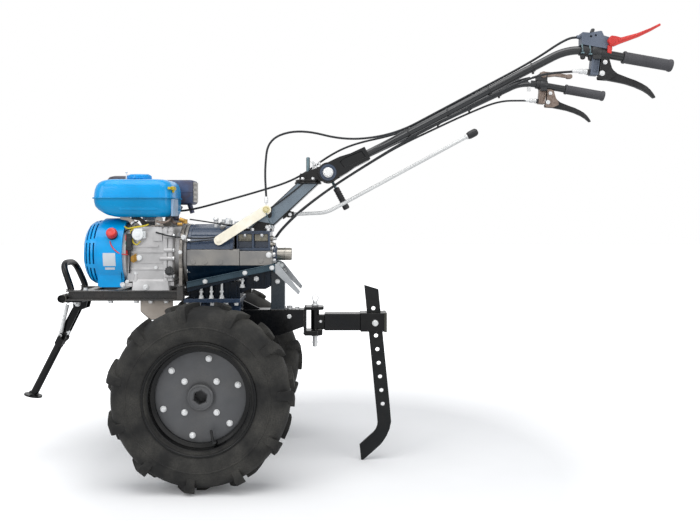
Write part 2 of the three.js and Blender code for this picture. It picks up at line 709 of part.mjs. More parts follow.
/** Stand leg: channel with the pivot eye, tube, foot plate and spring hook. */
function standLeg() {
  const outline = [
    ...arc([STAND_PIVOT_X, STAND_PIVOT_Z], STAND_EYE_RADIUS, STAND_LEAN_DEG, STAND_LEAN_DEG + 180, 8).reverse(),
    onStand(STAND_CHANNEL_LENGTH, 13), onStand(STAND_CHANNEL_LENGTH, -13),
  ];
  const channel = profile(outline, -STAND_CHANNEL / 2, STAND_CHANNEL / 2);
  const floor = STAND_CHANNEL_LENGTH - 22;
  const hollow = profile([onStand(-20, -20), onStand(-20, 20), onStand(floor, 20), onStand(floor, -20)],
    -STAND_CHANNEL / 2 + 5, STAND_CHANNEL / 2 - 5);
  const eye = rod([STAND_PIVOT_X, -30, STAND_PIVOT_Z], [STAND_PIVOT_X, 30, STAND_PIVOT_Z],
    STAND_PIN_RADIUS + PIN_GAP, 16);
  const [topX, topZ] = onStand(STAND_CHANNEL_LENGTH - 20);
  const [endX, endZ] = onStand(STAND_LENGTH);
  const leg = rod([topX, 0, topZ], [endX, 0, endZ], STAND_TUBE_RADIUS, 16);
  const foot = new THREE.CylinderGeometry(30, 30, 6, 24).scale(1, 1, 0.8).rotateX(Math.PI / 2);
  foot.rotateY(THREE.MathUtils.degToRad(-STAND_FOOT_TILT_DEG)).translate(endX, 0, endZ - 2);
  const [hookX, hookZ] = onStand(SPRING_DOWN);
  const hook = rod([hookX, STAND_CHANNEL / 2 - 2, hookZ], [hookX, SPRING_Y + 7, hookZ], 4, 8);
  return join(cut(channel, hollow, eye), leg, foot, hook);
}

/** Return spring between the front cross tube and the hook on the leg. */
function standSpring() {
  const [hookX, hookZ] = onStand(SPRING_DOWN);
  const top = CROSS_TUBE_Z - CROSS_TUBE_RADIUS - SEAT;
  return rod([CROSS_TUBE_X, SPRING_Y, top], [hookX - 1, SPRING_Y, hookZ + 4 + 2 * SEAT], SPRING_RADIUS, 10);
}

function buildStand() {
  piece('stand_leg', standLeg(), BLACK);
  piece('stand_spring', standSpring(), ZINC);
}

// -------------------------------------------------------- mast and handlebar

/** Leaning mast with its base plate, yaw plate and yaw pin. */
function mast() {
  const half = MAST_DEPTH / 2;
  const column = profile([[MAST_BASE_X - half, MAST_BASE_Z - 2], [YAW_X - half, MAST_TOP_Z],
    [YAW_X + half, MAST_TOP_Z], [MAST_BASE_X + half, MAST_BASE_Z - 2]], -MAST_HALF, MAST_HALF);
  const base = block([-192, -50, SELECTOR_TOP + SEAT], [-95, 50, MAST_BASE_Z]);
  const plateTop = MAST_TOP_Z + YAW_PLATE_THICKNESS;
  const plate = rod([YAW_X, 0, MAST_TOP_Z - 1], [YAW_X, 0, plateTop], YAW_PLATE_RADIUS, 24);
  const pin = rod([YAW_X, 0, MAST_TOP_Z], [YAW_X, 0, MAST_TOP_Z + YAW_PIN_LENGTH], YAW_PIN_RADIUS, 16);
  return join(column, base, plate, pin);
}

/** Head that turns on the yaw pin and holds the tilt pin. */
function swivelHead() {
  const low = MAST_TOP_Z + YAW_PLATE_THICKNESS + SEAT;
  const disc = rod([YAW_X, 0, low], [YAW_X, 0, low + 8], YAW_PLATE_RADIUS - 3, 24);
  const body = profile([[YAW_X + 30, low + 4], [YAW_X + 30, low + 24], [YAW_X + 4, low + 34],
    [TILT_X, TILT_Z + 32], ...arc([TILT_X, TILT_Z], FORK_RADIUS - 1.5, 90, 250, 8), [YAW_X - 26, low + 4]],
  -TONGUE_HALF, TONGUE_HALF);
  const bore = rod([YAW_X, 0, low - 5], [YAW_X, 0, MAST_TOP_Z + YAW_PIN_LENGTH + 1], YAW_PIN_RADIUS + PIN_GAP, 16);
  const eye = rod([TILT_X, -50, TILT_Z], [TILT_X, 50, TILT_Z], TILT_PIN_RADIUS + PIN_GAP, 16);
  return cut(join(disc, body), bore, eye);
}

/** Point on the socket: out along it from the tilt pivot, and above it. */
function onSocket(out, above = 0) {
  const run = Math.hypot(1, SOCKET_SLOPE);
  const [ux, uz] = [-1 / run, SOCKET_SLOPE / run];
  return [TILT_X + out * ux + above * uz, TILT_Z + out * uz - above * ux];
}

/** Fork on the tilt pin that both handlebar tubes enter. */
function handlebarSocket() {
  const tilt = THREE.MathUtils.radToDeg(Math.atan2(SOCKET_SLOPE, -1));
  const outline = [
    onSocket(SOCKET_LENGTH, 21), ...arc([TILT_X, TILT_Z], FORK_RADIUS, tilt - 80, tilt - 280, 12),
    onSocket(SOCKET_LENGTH, -21),
  ];
  const body = profile(outline, -FORK_HALF, FORK_HALF);
  const slot = profile(arc([TILT_X, TILT_Z], 42, 0, 345, 23), -TONGUE_HALF - SEAT, TONGUE_HALF + SEAT);
  const pin = rod([TILT_X, -FORK_HALF - 8, TILT_Z], [TILT_X, FORK_HALF + 8, TILT_Z], TILT_PIN_RADIUS, 16);
  return join(cut(body, slot), pin);
}

/** Unit direction of the grips, pointing back. */
const gripDirection = new THREE.Vector3(GRIP_X - BEND_X, 0, GRIP_Z - BEND_Z).normalize();

/** One handlebar tube, from the socket to inside its grip. */
function handlebarTube(sign) {
  const [x, z] = onSocket(SOCKET_LENGTH + SEAT);
  const [x2, z2] = onSocket(SOCKET_LENGTH + 40);
  const half = BAR_SPREAD / 2;
  const reach = GRIP_LENGTH - GRIP_END;
  const end = [GRIP_X + gripDirection.x * reach, sign * half, GRIP_Z + gripDirection.z * reach];
  const start = sign * BAR_START_Y;
  return tube([[x, start, z], [x2, start, z2], [BEND_X, sign * half, BEND_Z], end], BAR_RADIUS,
    { bend: 56, steps: 5 });
}

/** Rubber grip, closed at its end. */
function grip(sign) {
  const half = (sign * BAR_SPREAD) / 2;
  const at = (distance) => [GRIP_X + gripDirection.x * distance, half, GRIP_Z + gripDirection.z * distance];
  const body = rod(at(0), at(GRIP_LENGTH), GRIP_RADIUS, 16);
  return cut(body, rod(at(-5), at(GRIP_LENGTH - GRIP_END + SEAT), BAR_RADIUS + 2 * SEAT, 16));
}

/** Height of the handlebar's centre line behind the bend. */
const barHeight = (x) => GRIP_Z + ((x - GRIP_X) * (BEND_Z - GRIP_Z)) / (BEND_X - GRIP_X);

/** Height of a piece that sits on top of the handlebar there. */
const barTop = (x) => barHeight(x) + (BAR_RADIUS + SEAT) / Math.abs(gripDirection.x);

/** Height of the hand lever's pivot, hung under the handlebar. */
const leverPivotZ = barHeight(LEVER_PIVOT_X) - BAR_RADIUS - LEVER_DROP;

/** Clamp under the handlebar that the hand lever hangs from. */
function leverBracket(sign) {
  const y = (sign * BAR_SPREAD) / 2;
  const x = LEVER_PIVOT_X;
  const top = barHeight(x + 22);
  const low = leverPivotZ - 6;
  const hanger = profile([[x + 28, top], [x + 5, top - 2], [x + 12, low], [x + 35, low + 2]], y - 12, y + 12);
  const wide = BAR_RADIUS + 6.5;
  const clamp = block([x + 2, y - wide, top - BAR_RADIUS - 10.5], [x + 31, y + wide, top]);
  const bore = tube([[BEND_X - 30, y, barHeight(BEND_X - 30)], [GRIP_X, y, GRIP_Z]], BAR_RADIUS + 2 * SEAT,
    { sides: 16 });
  return cut(join(hanger, clamp), bore);
}

/** Hand lever under the grip. */
function brakeLever(sign) {
  const y = (sign * BAR_SPREAD) / 2;
  const outline = [
    [-1, 47], [-19, 45], [-24, 28], [-32, 13], [-48, 0], [-81, -13], [-120, -29], [-146, -48], [-161, -70],
    [-155, -72], [-125, -50], [-100, -39], [-72, -30], [-24, -20.5], [8, -13], [2, 0],
  ].map(([along, above]) => [LEVER_PIVOT_X + along, leverPivotZ + above]);
  return profile(outline, y - 8, y + 8);
}

/** Housing of the clutch lever on the left handlebar. */
function controlHousing() {
  const y = BAR_SPREAD / 2;
  return profile([[-1130, barTop(-1130)], [-1130, 1362], [-1158, 1360], [-1190, 1366], [-1196, 1352],
    [-1218, 1346], [-1221, barTop(-1221)]], y - HOUSING_HALF, y + HOUSING_HALF);
}

/** Clutch lever beside its housing. */
function redLever() {
  const y = BAR_SPREAD / 2;
  const low = y + HOUSING_HALF + SEAT;
  return profile([[-1207, 1330], [-1212, 1350], [-1232, 1352], [-1290, 1360], [-1362, 1388], [-1366, 1380],
    [-1296, 1346], [-1240, 1326], [-1224, 1318]], low, low + 8);
}

/** Throttle lever on the right handlebar. */
function throttleLever() {
  const y = -BAR_SPREAD / 2;
  return profile([[-1150, barTop(-1150)], [-1150, 1340], [-1170, 1354], [-1215, 1352], [-1284, 1340],
    [-1284, 1330], [-1220, 1338], [-1190, 1330], [-1190, barTop(-1190)]], y - 10, y + 10);
}

/** Lever that locks the handlebar's height, on the far end of the tilt pin. */
function tiltLock() {
  const y = -FORK_HALF - SEAT;
  const ring = cut(rod([TILT_X, y, TILT_Z], [TILT_X, y - 12, TILT_Z], 20, 16),
    rod([TILT_X, y + 5, TILT_Z], [TILT_X, y - 20, TILT_Z], TILT_PIN_RADIUS + PIN_GAP, 16));
  const arm = rod([TILT_X - 8.5, y - 6, TILT_Z - 16], [TILT_X - 26, y - 9, TILT_Z - 49], 5, 10);
  const handle = rod([TILT_X - 26, y - 12, TILT_Z - 48], [TILT_X - 64, y - 12, TILT_Z - 120], 11, 16);
  return join(ring, arm, handle);
}

function buildHandlebar() {
  piece('mast', mast(), CASTING);
  piece('swivel_head', swivelHead(), BLACK);
  piece('handlebar_socket', handlebarSocket(), BLACK);
  piece('tilt_lock_lever', tiltLock(), BLACK);
  for (const [side, sign] of SIDES) {
    piece(`handlebar_${side}`, handlebarTube(sign), BLACK);
    piece(`grip_${side}`, grip(sign), RUBBER);
    piece(`lever_bracket_${side}`, leverBracket(sign), GREY);
    piece(`hand_lever_${side}`, brakeLever(sign), BLACK);
  }
  piece('control_housing', controlHousing(), GREY);
  piece('clutch_lever', redLever(), RED);
  piece('throttle_lever', throttleLever(), GREY);
}

// --------------------------------------------------------- gear shift linkage

/** X of the mast's rear face at a height. */
const mastRear = (z) => {
  const up = (z - MAST_BASE_Z + 2) / (MAST_TOP_Z - MAST_BASE_Z + 2);
  return MAST_BASE_X - MAST_DEPTH / 2 + up * (YAW_X - MAST_BASE_X);
};

/** Gear shift rod from behind the mast back between the handlebars. */
function shiftRod() {
  const start = [mastRear(SHIFT_ROD_LOW + SHIFT_ROD_RADIUS) - SEAT, 0, SHIFT_ROD_LOW];
  return tube([start, [-371, 0, SHIFT_ROD_LOW + 6], SHIFT_ROD_END], SHIFT_ROD_RADIUS, { bend: 25, sides: 8 });
}

/** Clutch release arm beside the gearbox. */
function clutchArm() {
  const [x1, z1, x2, z2] = [-25, 738, CLUTCH_ARM_X, CLUTCH_ARM_Z];
  const slope = THREE.MathUtils.radToDeg(Math.atan2(z2 - z1, x2 - x1));
  const low = arc([x1, z1], 15.5, slope - 270, slope - 90, 8);
  const high = arc([x2, z2], 15.5, slope - 90, slope + 90, 8);
  return profile([...low, ...high].reverse(), CLUTCH_ARM_Y, CLUTCH_ARM_Y + 5);
}

function buildLinkage() {
  piece('shift_rod', shiftRod(), ZINC);
  const [x, , z] = SHIFT_ROD_END;
  piece('shift_knob', rod([x - SEAT, 0, z + 0.2], [x - 32, 0, z + 17], KNOB_RADIUS, 16), BLACK);
  piece('clutch_arm', clutchArm(), CREAM);
}

// -------------------------------------------------------------------- cables

/** Point beside the straight stretch of a handlebar tube, raised by lift. */
function besideBar(sign, x, lift) {
  const [startX, startZ] = onSocket(SOCKET_LENGTH + 40);
  const part = (x - startX) / (BEND_X - startX);
  const y = BAR_START_Y + part * (BAR_SPREAD / 2 - BAR_START_Y);
  return [x, sign * y, startZ + part * (BEND_Z - startZ) + lift];
}

/** A cable through its corner points. */
const cable = (corners) => tube(corners, CABLE_RADIUS, { bend: 50, steps: 3, sides: 8 });

/** Clutch cable: up from the arm, over the head and along the left handlebar. */
function clutchCable() {
  const [y, end] = [CLUTCH_ARM_Y + 2.5, BAR_SPREAD / 2];
  return cable([
    [CLUTCH_ARM_X, y, CLUTCH_ARM_Z + 16], [CLUTCH_ARM_X, y, 875], [-172, 104, 965], [-180, 102, 1060],
    [-286, 92, 1094], [-432, 60, 1066], besideBar(1, -620, CABLE_LIFT), besideBar(1, -1000, CABLE_LIFT + 4),
    [-1090, end, 1347], [-1130 + SEAT, end, 1350],
  ]);
}

/** Throttle cable: from the carburettor past the mast and along the right handlebar. */
function throttleCable() {
  const end = -BAR_SPREAD / 2;
  return cable([
    [214 - SEAT, -150, 835], [202, -150, 835], [188, -126, 836], [118, -116, 834], [-120, -70, 897],
    [-269, -40, 941], [-376, -24, 1020], [-462, -26, 1062], besideBar(-1, -620, CABLE_LIFT),
    besideBar(-1, -1050, CABLE_LIFT), [-1125, end, 1334], [-1150 + SEAT, end, 1334],
  ]);
}

/** Steering cable: from the selector block along one handlebar to its hand lever. */
function brakeCable(sign) {
  const end = (sign * BAR_SPREAD) / 2;
  return cable([
    [SELECTOR_REAR - SEAT, sign * 20, 742], [-200, sign * 20, 742], [-218, sign * 26, 770],
    [-281, sign * 40, 833], [-386, sign * 20, 912], [-500, sign * 22, 985], besideBar(sign, -620, -CABLE_LIFT),
    besideBar(sign, -860, -CABLE_LIFT), [-1005, sign * 250, 1243], [-1108, end, 1248], [-1158 + SEAT, end, 1246],
  ]);
}

function buildCables() {
  piece('clutch_cable', clutchCable(), BLACK);
  piece('throttle_cable', throttleCable(), BLACK);
  for (const [side, sign] of SIDES) piece(`brake_cable_${side}`, brakeCable(sign), BLACK);
}

// --------------------------------------------------------------------- hitch

/** Hitch beam with the post that carries it under the gearbox. */
function hitchBeam() {
  const front = SUMP_REAR - SEAT;
  const beam = profile([[front, HITCH_TOP], [HITCH_REAR, HITCH_TOP], [HITCH_REAR, HITCH_LOW + 30],
    [-214, HITCH_LOW], [front, HITCH_LOW]], -HITCH_HALF, HITCH_HALF);
  return join(beam, block([HITCH_POST_FRONT - 45, -30, HITCH_TOP - 2], [HITCH_POST_FRONT, 30, 640]));
}

/** Clevis behind the beam, bored for the hitch pin. */
function hitchClevis() {
  const front = HITCH_REAR - 0.5;
  const [low, high, inner] = [HITCH_LOW, CLEVIS_TOP, front - 6];
  const rear = HITCH_PIN_X - 25;
  const outline = [[front, low], [front, high], [rear - 4, high], [rear - 4, high - 10], [inner, high - 10],
    [inner, low + CLEVIS_PLATE], [rear, low + CLEVIS_PLATE], [rear, low]];
  const body = profile(outline, -CLEVIS_HALF, CLEVIS_HALF);
  return cut(body, rod([HITCH_PIN_X, 0, low - 20], [HITCH_PIN_X, 0, high + 15], HITCH_PIN_RADIUS + SEAT, 16));
}

/** Arm that swings on the hitch pin, with the holder of the coulter bar. */
function hitchArm() {
  const low = ARM_LOW;
  const front = HITCH_PIN_X - 33;
  const barrel = rod([HITCH_PIN_X, 0, low], [HITCH_PIN_X, 0, CLEVIS_TOP - 10.5], HITCH_PIN_RADIUS + 6, 20);
  const neck = block([front - 6, -12, low + 6], [HITCH_PIN_X - 4, 12, low + ARM_SIZE - 6]);
  const beam = block([ARM_REAR, -ARM_SIZE / 2, low], [front, ARM_SIZE / 2, low + ARM_SIZE]);
  const bore = rod([HITCH_PIN_X, 0, low - 30], [HITCH_PIN_X, 0, CLEVIS_TOP], HITCH_PIN_RADIUS + PIN_GAP, 16);
  const holder = block([COULTER_X - 36, -HOLDER_HALF, COULTER_Z - 29],
    [ARM_REAR + 1, HOLDER_HALF, COULTER_Z + 33]);
  const gap = COULTER_WIDTH / 2 + SEAT;
  const slot = profile([onCoulter(-60, -gap), onCoulter(60, -gap), onCoulter(60, gap), onCoulter(-60, gap)],
    -COULTER_THICKNESS / 2 - SEAT, COULTER_THICKNESS / 2 + SEAT);
  const hole = rod([COULTER_X, -60, COULTER_Z], [COULTER_X, 60, COULTER_Z], COULTER_BOLT_RADIUS + 0.5, 12);
  return cut(join(barrel, neck, beam, holder), bore, slot, hole);
}

/** Point on the coulter's straight bar: along it upwards, and forward of it. */
function onCoulter(up, forward = 0) {
  const lean = THREE.MathUtils.degToRad(COULTER_TILT_DEG);
  return [
    COULTER_X + up * Math.sin(lean) + forward * Math.cos(lean),
    COULTER_Z + up * Math.cos(lean) - forward * Math.sin(lean),
  ];
}

/** Flat coulter bar with a row of depth holes and a curved tip. */
function coulter() {
  const half = COULTER_WIDTH / 2;
  const outline = [
    onCoulter(127, half), onCoulter(108, -half), onCoulter(-295, -half),
    [-588, 128], [-573, 81], [-552, 51], [-494, 0], [-487, 2], [-482, 51], [-528, 92], [-541, 120],
    onCoulter(-315, half),
  ];
  const holes = [];
  for (let i = -6; i <= 1; i++) {
    const [x, z] = onCoulter(i * COULTER_PITCH);
    holes.push(rod([x, -20, z], [x, 20, z], COULTER_HOLE_RADIUS, 12));
  }
  return cut(profile(outline, -COULTER_THICKNESS / 2, COULTER_THICKNESS / 2), ...holes);
}

/** Bolt through the holder and the coulter bar, with its nut. */
function coulterBolt() {
  const half = HOLDER_HALF + SEAT;
  const across = (from, to, radius, sides) =>
    rod([COULTER_X, from, COULTER_Z], [COULTER_X, to, COULTER_Z], radius, sides);
  return join(across(half, half + 8, 10.5, 6), across(-half - 2, half + 2, COULTER_BOLT_RADIUS, 12),
    across(-half - 8, -half, 10.5, 6));
}

function buildHitch() {
  piece('hitch_beam', hitchBeam(), BLACK);
  piece('hitch_clevis', hitchClevis(), BLACK);
  const pin = [[HITCH_PIN_X, 0, HITCH_LOW - 41], [HITCH_PIN_X, 0, CLEVIS_TOP + 33]];
  piece('hitch_pin', rod(...pin, HITCH_PIN_RADIUS, 16), ZINC);
  piece('hitch_arm', hitchArm(), BLACK);
  piece('coulter', coulter(), BLACK);
  piece('coulter_bolt', coulterBolt(), ZINC);
}

// ------------------------------------------------------------------ assembly

buildWheels();
buildDriveline();
buildEngine();
buildFrontFrame();
buildStand();
buildHandlebar();
buildLinkage();
buildCables();
buildHitch();

const bounds = new THREE.Box3().setFromObject(machine);
machine.position.x = -(bounds.min.x + bounds.max.x) / 2;

export default machine;
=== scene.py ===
"""Looks of a two-wheeled walking tractor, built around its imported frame.

Pieces are drawn in the machine's own millimetres: x forward of the axle line,
y to the machine's left of its middle, z above the ground. A finished piece is
in metres in the frame's axes, with its object at the origin.
"""

import json
import logging
from collections.abc import Sequence
from dataclasses import dataclass, field
from enum import Enum
from math import atan2, ceil, cos, degrees, hypot, pi, radians, sin, sqrt

import bmesh
import bpy
from mathutils import Matrix, Vector


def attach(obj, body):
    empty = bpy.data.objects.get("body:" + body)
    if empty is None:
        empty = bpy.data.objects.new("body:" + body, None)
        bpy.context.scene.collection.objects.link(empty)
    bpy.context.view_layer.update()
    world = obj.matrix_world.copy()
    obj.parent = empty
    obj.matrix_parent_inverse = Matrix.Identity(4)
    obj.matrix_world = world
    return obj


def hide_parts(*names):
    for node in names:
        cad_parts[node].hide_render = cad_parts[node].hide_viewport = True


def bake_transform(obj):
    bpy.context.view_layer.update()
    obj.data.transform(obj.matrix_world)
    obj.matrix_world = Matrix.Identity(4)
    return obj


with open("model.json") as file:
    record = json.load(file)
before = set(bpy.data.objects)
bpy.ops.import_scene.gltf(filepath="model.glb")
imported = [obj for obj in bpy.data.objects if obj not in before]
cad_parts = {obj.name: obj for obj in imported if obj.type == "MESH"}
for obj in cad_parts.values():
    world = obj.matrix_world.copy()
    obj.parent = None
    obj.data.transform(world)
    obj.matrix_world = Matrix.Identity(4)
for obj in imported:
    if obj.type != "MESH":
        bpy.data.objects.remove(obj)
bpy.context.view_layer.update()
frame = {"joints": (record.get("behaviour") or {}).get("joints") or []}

log = logging.getLogger("walking_tractor")

MM = 0.001
AXLE_X = next(j["pos_m"][0] for j in frame["joints"] if j["name"] == "wheel_left_spin")
TO_FRAME = Matrix.Translation((AXLE_X, 0, 0)) @ Matrix.Scale(MM, 4)
TURN = 2 * pi

Point = Sequence[float]
Outline = Sequence[Sequence[float]]

X = Vector((1, 0, 0))
Y = Vector((0, 1, 0))
Z = Vector((0, 0, 1))


class Body(Enum):
    """Moving bodies of the frame."""

    CHASSIS = "chassis"
    WHEEL_LEFT = "wheel_left"
    WHEEL_RIGHT = "wheel_right"
    STAND = "stand"
    HEAD = "swivel_head"
    HANDLEBAR = "handlebar"
    ARM = "hitch_arm"


class Side(Enum):
    """Machine sides, by the sign of y."""

    LEFT = 1
    RIGHT = -1

    @property
    def word(self) -> str:
        """The side's name in lower case."""
        return self.name.lower()


class Slot(Enum):
    """Material slots of the record."""

    TYRE = "tyre_rubber"
    BLACK = "black_paint"
    WHEEL = "wheel_black"
    BLUE = "blue_paint"
    GEARBOX = "gearbox_paint"
    ALUMINIUM = "cast_aluminium"
    ZINC = "zinc"
    STEEL = "steel"
    CREAM = "cream_paint"
    RED = "red_plastic"
    GRIP = "grip_rubber"
    GREY = "grey_metal"
    PLASTIC = "black_plastic"
    EXHAUST = "exhaust_black"
    CABLE = "cable_black"


# ------------------------------------------------------------------ finishes


def linear(code: str) -> tuple[float, float, float, float]:
    """A colour written as #rrggbb, as linear values.

    Args:
        code: The display colour.

    Returns:
        Red, green, blue and an alpha of one.
    """
    parts = [int(code[i : i + 2], 16) / 255 for i in (1, 3, 5)]
    bent = [c / 12.92 if c <= 0.04045 else ((c + 0.055) / 1.055) ** 2.4 for c in parts]
    return (*bent, 1.0)


class NodeSheet:
    """Short way to lay out the nodes of one material."""

    def __init__(self, name: str) -> None:
        """Starts a node material with only its shader and output."""
        self.material = bpy.data.materials.new(name)
        self.material.use_nodes = True
        self.tree = self.material.node_tree
        self.shader = self.tree.nodes["Principled BSDF"]
        self.place = self.node("ShaderNodeTexCoord").outputs["Object"]

    def node(self, kind: str, **settings: object) -> bpy.types.Node:
        """Adds a node and gives it its settings."""
        made = self.tree.nodes.new(kind)
        for key, value in settings.items():
            setattr(made, key, value)
        return made

    def feed(self, node: bpy.types.Node, **inputs: object) -> bpy.types.Node:
        """Sets or wires a node's inputs.

        Args:
            node: The node that is fed.
            inputs: Values or output sockets by input name, with _ for a space.

        Returns:
            The same node.
        """
        for key, value in inputs.items():
            self.put(node.inputs[key.replace("_", " ")], value)
        return node

    def put(self, socket: bpy.types.NodeSocket, value: object) -> None:
        """Wires an output socket to an input, or sets the input's value."""
        if isinstance(value, bpy.types.NodeSocket):
            self.tree.links.new(value, socket)
        else:
            socket.default_value = value

    def stretched(self, stretch: Point) -> bpy.types.NodeSocket:
        """Object coordinates, scaled on each axis."""
        mapping = self.node("ShaderNodeMapping")
        self.feed(mapping, Vector=self.place, Scale=tuple(stretch))
        return mapping.outputs["Vector"]

    def noise(
        self, scale: float, detail: float = 3.0, stretch: Point = (1, 1, 1), rough: float = 0.55
    ) -> bpy.types.NodeSocket:
        """A noise pattern of so many grains to the metre.

        Args:
            scale: Grains to the metre.
            detail: Octaves of finer grain.
            stretch: Scale of the pattern on each axis.
            rough: Weight of the finer octaves.

        Returns:
            The pattern's value socket.
        """
        source = self.place if tuple(stretch) == (1, 1, 1) else self.stretched(stretch)
        noise = self.node("ShaderNodeTexNoise")
        self.feed(noise, Vector=source, Scale=scale, Detail=detail, Roughness=rough)
        return noise.outputs["Fac"]

    def remap(
        self, value: bpy.types.NodeSocket, old: tuple[float, float], new: tuple[float, float]
    ) -> bpy.types.NodeSocket:
        """Moves a value from one range to another, clamped."""
        node = self.node("ShaderNodeMapRange")
        self.feed(node, Value=value, From_Min=old[0], From_Max=old[1], To_Min=new[0], To_Max=new[1])
        return node.outputs["Result"]

    def mix(self, amount: object, first: object, second: object) -> bpy.types.NodeSocket:
        """Mixes two colours by an amount."""
        node = self.node("ShaderNodeMix", data_type="RGBA")
        for index, value in ((0, amount), (6, first), (7, second)):
            self.put(node.inputs[index], value)
        return node.outputs[2]

    def times(self, first: bpy.types.NodeSocket, second: object) -> bpy.types.NodeSocket:
        """The product of two values."""
        node = self.node("ShaderNodeMath", operation="MULTIPLY")
        self.put(node.inputs[0], first)
        self.put(node.inputs[1], second)
        return node.outputs[0]

    def bump(
        self, height: bpy.types.NodeSocket, strength: float, depth: float, under: object = None
    ) -> bpy.types.NodeSocket:
        """A bump in metres of depth, over another one if given."""
        node = self.node("ShaderNodeBump")
        self.feed(node, Height=height, Strength=strength, Distance=depth)
        if under is not None:
            self.put(node.inputs["Normal"], under)
        return node.outputs["Normal"]


@dataclass(frozen=True)
class Finish:
    """A surface finish, built as one procedural material.

    Colours are display colours. Scales are grains to the metre.
    """

    name: str
    slot: Slot
    colour: str
    shade: str
    roughness: float
    metallic: float = 0.0
    patches: float = 14.0
    spread: float = 0.06
    grain: float = 900.0
    grain_depth: float = 0.00012
    grain_strength: float = 0.15
    coat: float = 0.0
    specular: float = 0.5
    dust: float = 0.0
    dust_colour: str = "#8d8578"
    stretch: tuple[float, float, float] = (1.0, 1.0, 1.0)

    def material(self) -> bpy.types.Material:
        """The finish's material, made on first use."""
        found = bpy.data.materials.get(f"{self.name}_finish")
        return found if found else self.build()

    def build(self) -> bpy.types.Material:
        """Lays out the finish's nodes.

        Returns:
            The new material.
        """
        sheet = NodeSheet(f"{self.name}_finish")
        patch = sheet.remap(sheet.noise(self.patches, 4.0, self.stretch), (0.35, 0.65), (0.0, 1.0))
        colour = sheet.mix(patch, linear(self.colour), linear(self.shade))
        if self.dust:
            colour = sheet.mix(self.dust_cover(sheet), colour, linear(self.dust_colour))
        fine = sheet.noise(self.grain, 2.0, self.stretch)
        wear = sheet.noise(self.patches * 5, 5.0, self.stretch)
        rough = sheet.remap(wear, (0.3, 0.7), (self.roughness - self.spread, self.roughness + self.spread))
        sheet.feed(
            sheet.shader,
            Base_Color=colour,
            Roughness=rough,
            Metallic=self.metallic,
            Coat_Weight=self.coat,
            Specular_IOR_Level=self.specular,
            Coat_Roughness=0.08,
            Normal=sheet.bump(fine, self.grain_strength, self.grain_depth),
        )
        self.extra(sheet)
        return sheet.material

    def dust_cover(self, sheet: NodeSheet) -> bpy.types.NodeSocket:
        """How much dust lies on the surface, in broken patches."""
        broad = sheet.remap(sheet.noise(9.0, 5.0), (0.42, 0.68), (0.0, 1.0))
        fine = sheet.remap(sheet.noise(260.0, 4.0), (0.35, 0.75), (0.2, 1.0))
        return sheet.times(sheet.times(broad, fine), self.dust)

    def extra(self, sheet: NodeSheet) -> None:
        """Adds what a special finish has beyond the plain one."""


@dataclass(frozen=True)
class Turned(Finish):
    """Bright steel with fine rings left by a lathe, along one axis."""

    axis: int = 0
    pitch: float = 1400.0

    def extra(self, sheet: NodeSheet) -> None:
        """Adds the tool's rings to the bump."""
        stretch = [0.02, 0.02, 0.02]
        stretch[self.axis] = 1.0
        rings = sheet.noise(self.pitch, 1.0, stretch)
        under = sheet.shader.inputs["Normal"].links[0].from_socket
        sheet.feed(sheet.shader, Normal=sheet.bump(rings, 0.5, 0.00008, under))


@dataclass(frozen=True)
class CastFinish(Finish):
    """Sand or die casting: a coarse skin under the fine grain."""

    skin: float = 260.0
    skin_depth: float = 0.0004

    def extra(self, sheet: NodeSheet) -> None:
        """Adds the casting's skin to the bump."""
        skin = sheet.noise(self.skin, 3.0)
        under = sheet.shader.inputs["Normal"].links[0].from_socket
        sheet.feed(sheet.shader, Normal=sheet.bump(skin, 0.35, self.skin_depth, under))


@dataclass(frozen=True)
class HeatFinish(CastFinish):
    """Exhaust steel, browned by heat in soft clouds."""

    burnt: str = "#4b3b3a"

    def extra(self, sheet: NodeSheet) -> None:
        """Clouds the colour with the burnt tone."""
        super().extra(sheet)
        base = sheet.shader.inputs["Base Color"].links[0].from_socket
        cloud = sheet.remap(sheet.noise(24.0, 4.0), (0.45, 0.7), (0.0, 0.8))
        sheet.feed(sheet.shader, Base_Color=sheet.mix(cloud, base, linear(self.burnt)))


TYRE = CastFinish("tyre", Slot.TYRE, "#191919", "#2a2a29", 0.7, grain_strength=0.3, grain=1500, specular=0.22,
                  patches=9, dust=0.42, dust_colour="#5f5c55", skin=420, skin_depth=0.0003)
GLOSS_BLACK = Finish("gloss_black", Slot.BLACK, "#060708", "#0a0b0c", 0.22, spread=0.05, grain=420,
                     grain_depth=0.00008, specular=0.25, dust=0.03)
FRAME = Finish("frame_paint", Slot.BLACK, "#434343", "#4d4a48", 0.3, metallic=0.2, grain=420, grain_depth=0.00008,
               coat=0.15, specular=0.3, dust=0.15)
FRAME_GLOSS = Finish("frame_gloss", Slot.BLACK, "#08090b", "#0c0e11", 0.22, grain=420, grain_depth=0.00008,
                     specular=0.26, dust=0.03)
POST = Finish("post_paint", Slot.BLACK, "#1f2830", "#262f36", 0.28, grain=420, grain_depth=0.00008, coat=0.15,
              specular=0.3, dust=0.1)
COULTER = Finish("coulter_paint", Slot.BLACK, "#0c0f11", "#121517", 0.4, grain=700, specular=0.22, dust=0.06)
HOLDER_EDGE = Finish("holder_edge", Slot.BLACK, "#3c3c34", "#302f2a", 0.35, metallic=0.3, grain=700)
MAST = Finish("mast_paint", Slot.BLACK, "#56636e", "#616f7a", 0.26, metallic=0.2, grain=420, grain_depth=0.00008,
              coat=0.4)
BAR_PAINT = Finish("bar_paint", Slot.BLACK, "#15181b", "#101215", 0.22, grain=420, grain_depth=0.00006, specular=0.5,
                   coat=0.3)
LEVER = Finish("lever_black", Slot.BLACK, "#0c0c0e", "#141416", 0.34, grain=700, specular=0.24, dust=0.12,
               dust_colour="#a5a5a3")
ROD = Finish("rod_plate", Slot.ZINC, "#cfd0cf", "#c6c7c7", 0.42, metallic=0.25, patches=6, spread=0.03, grain=300,
             grain_strength=0.04)
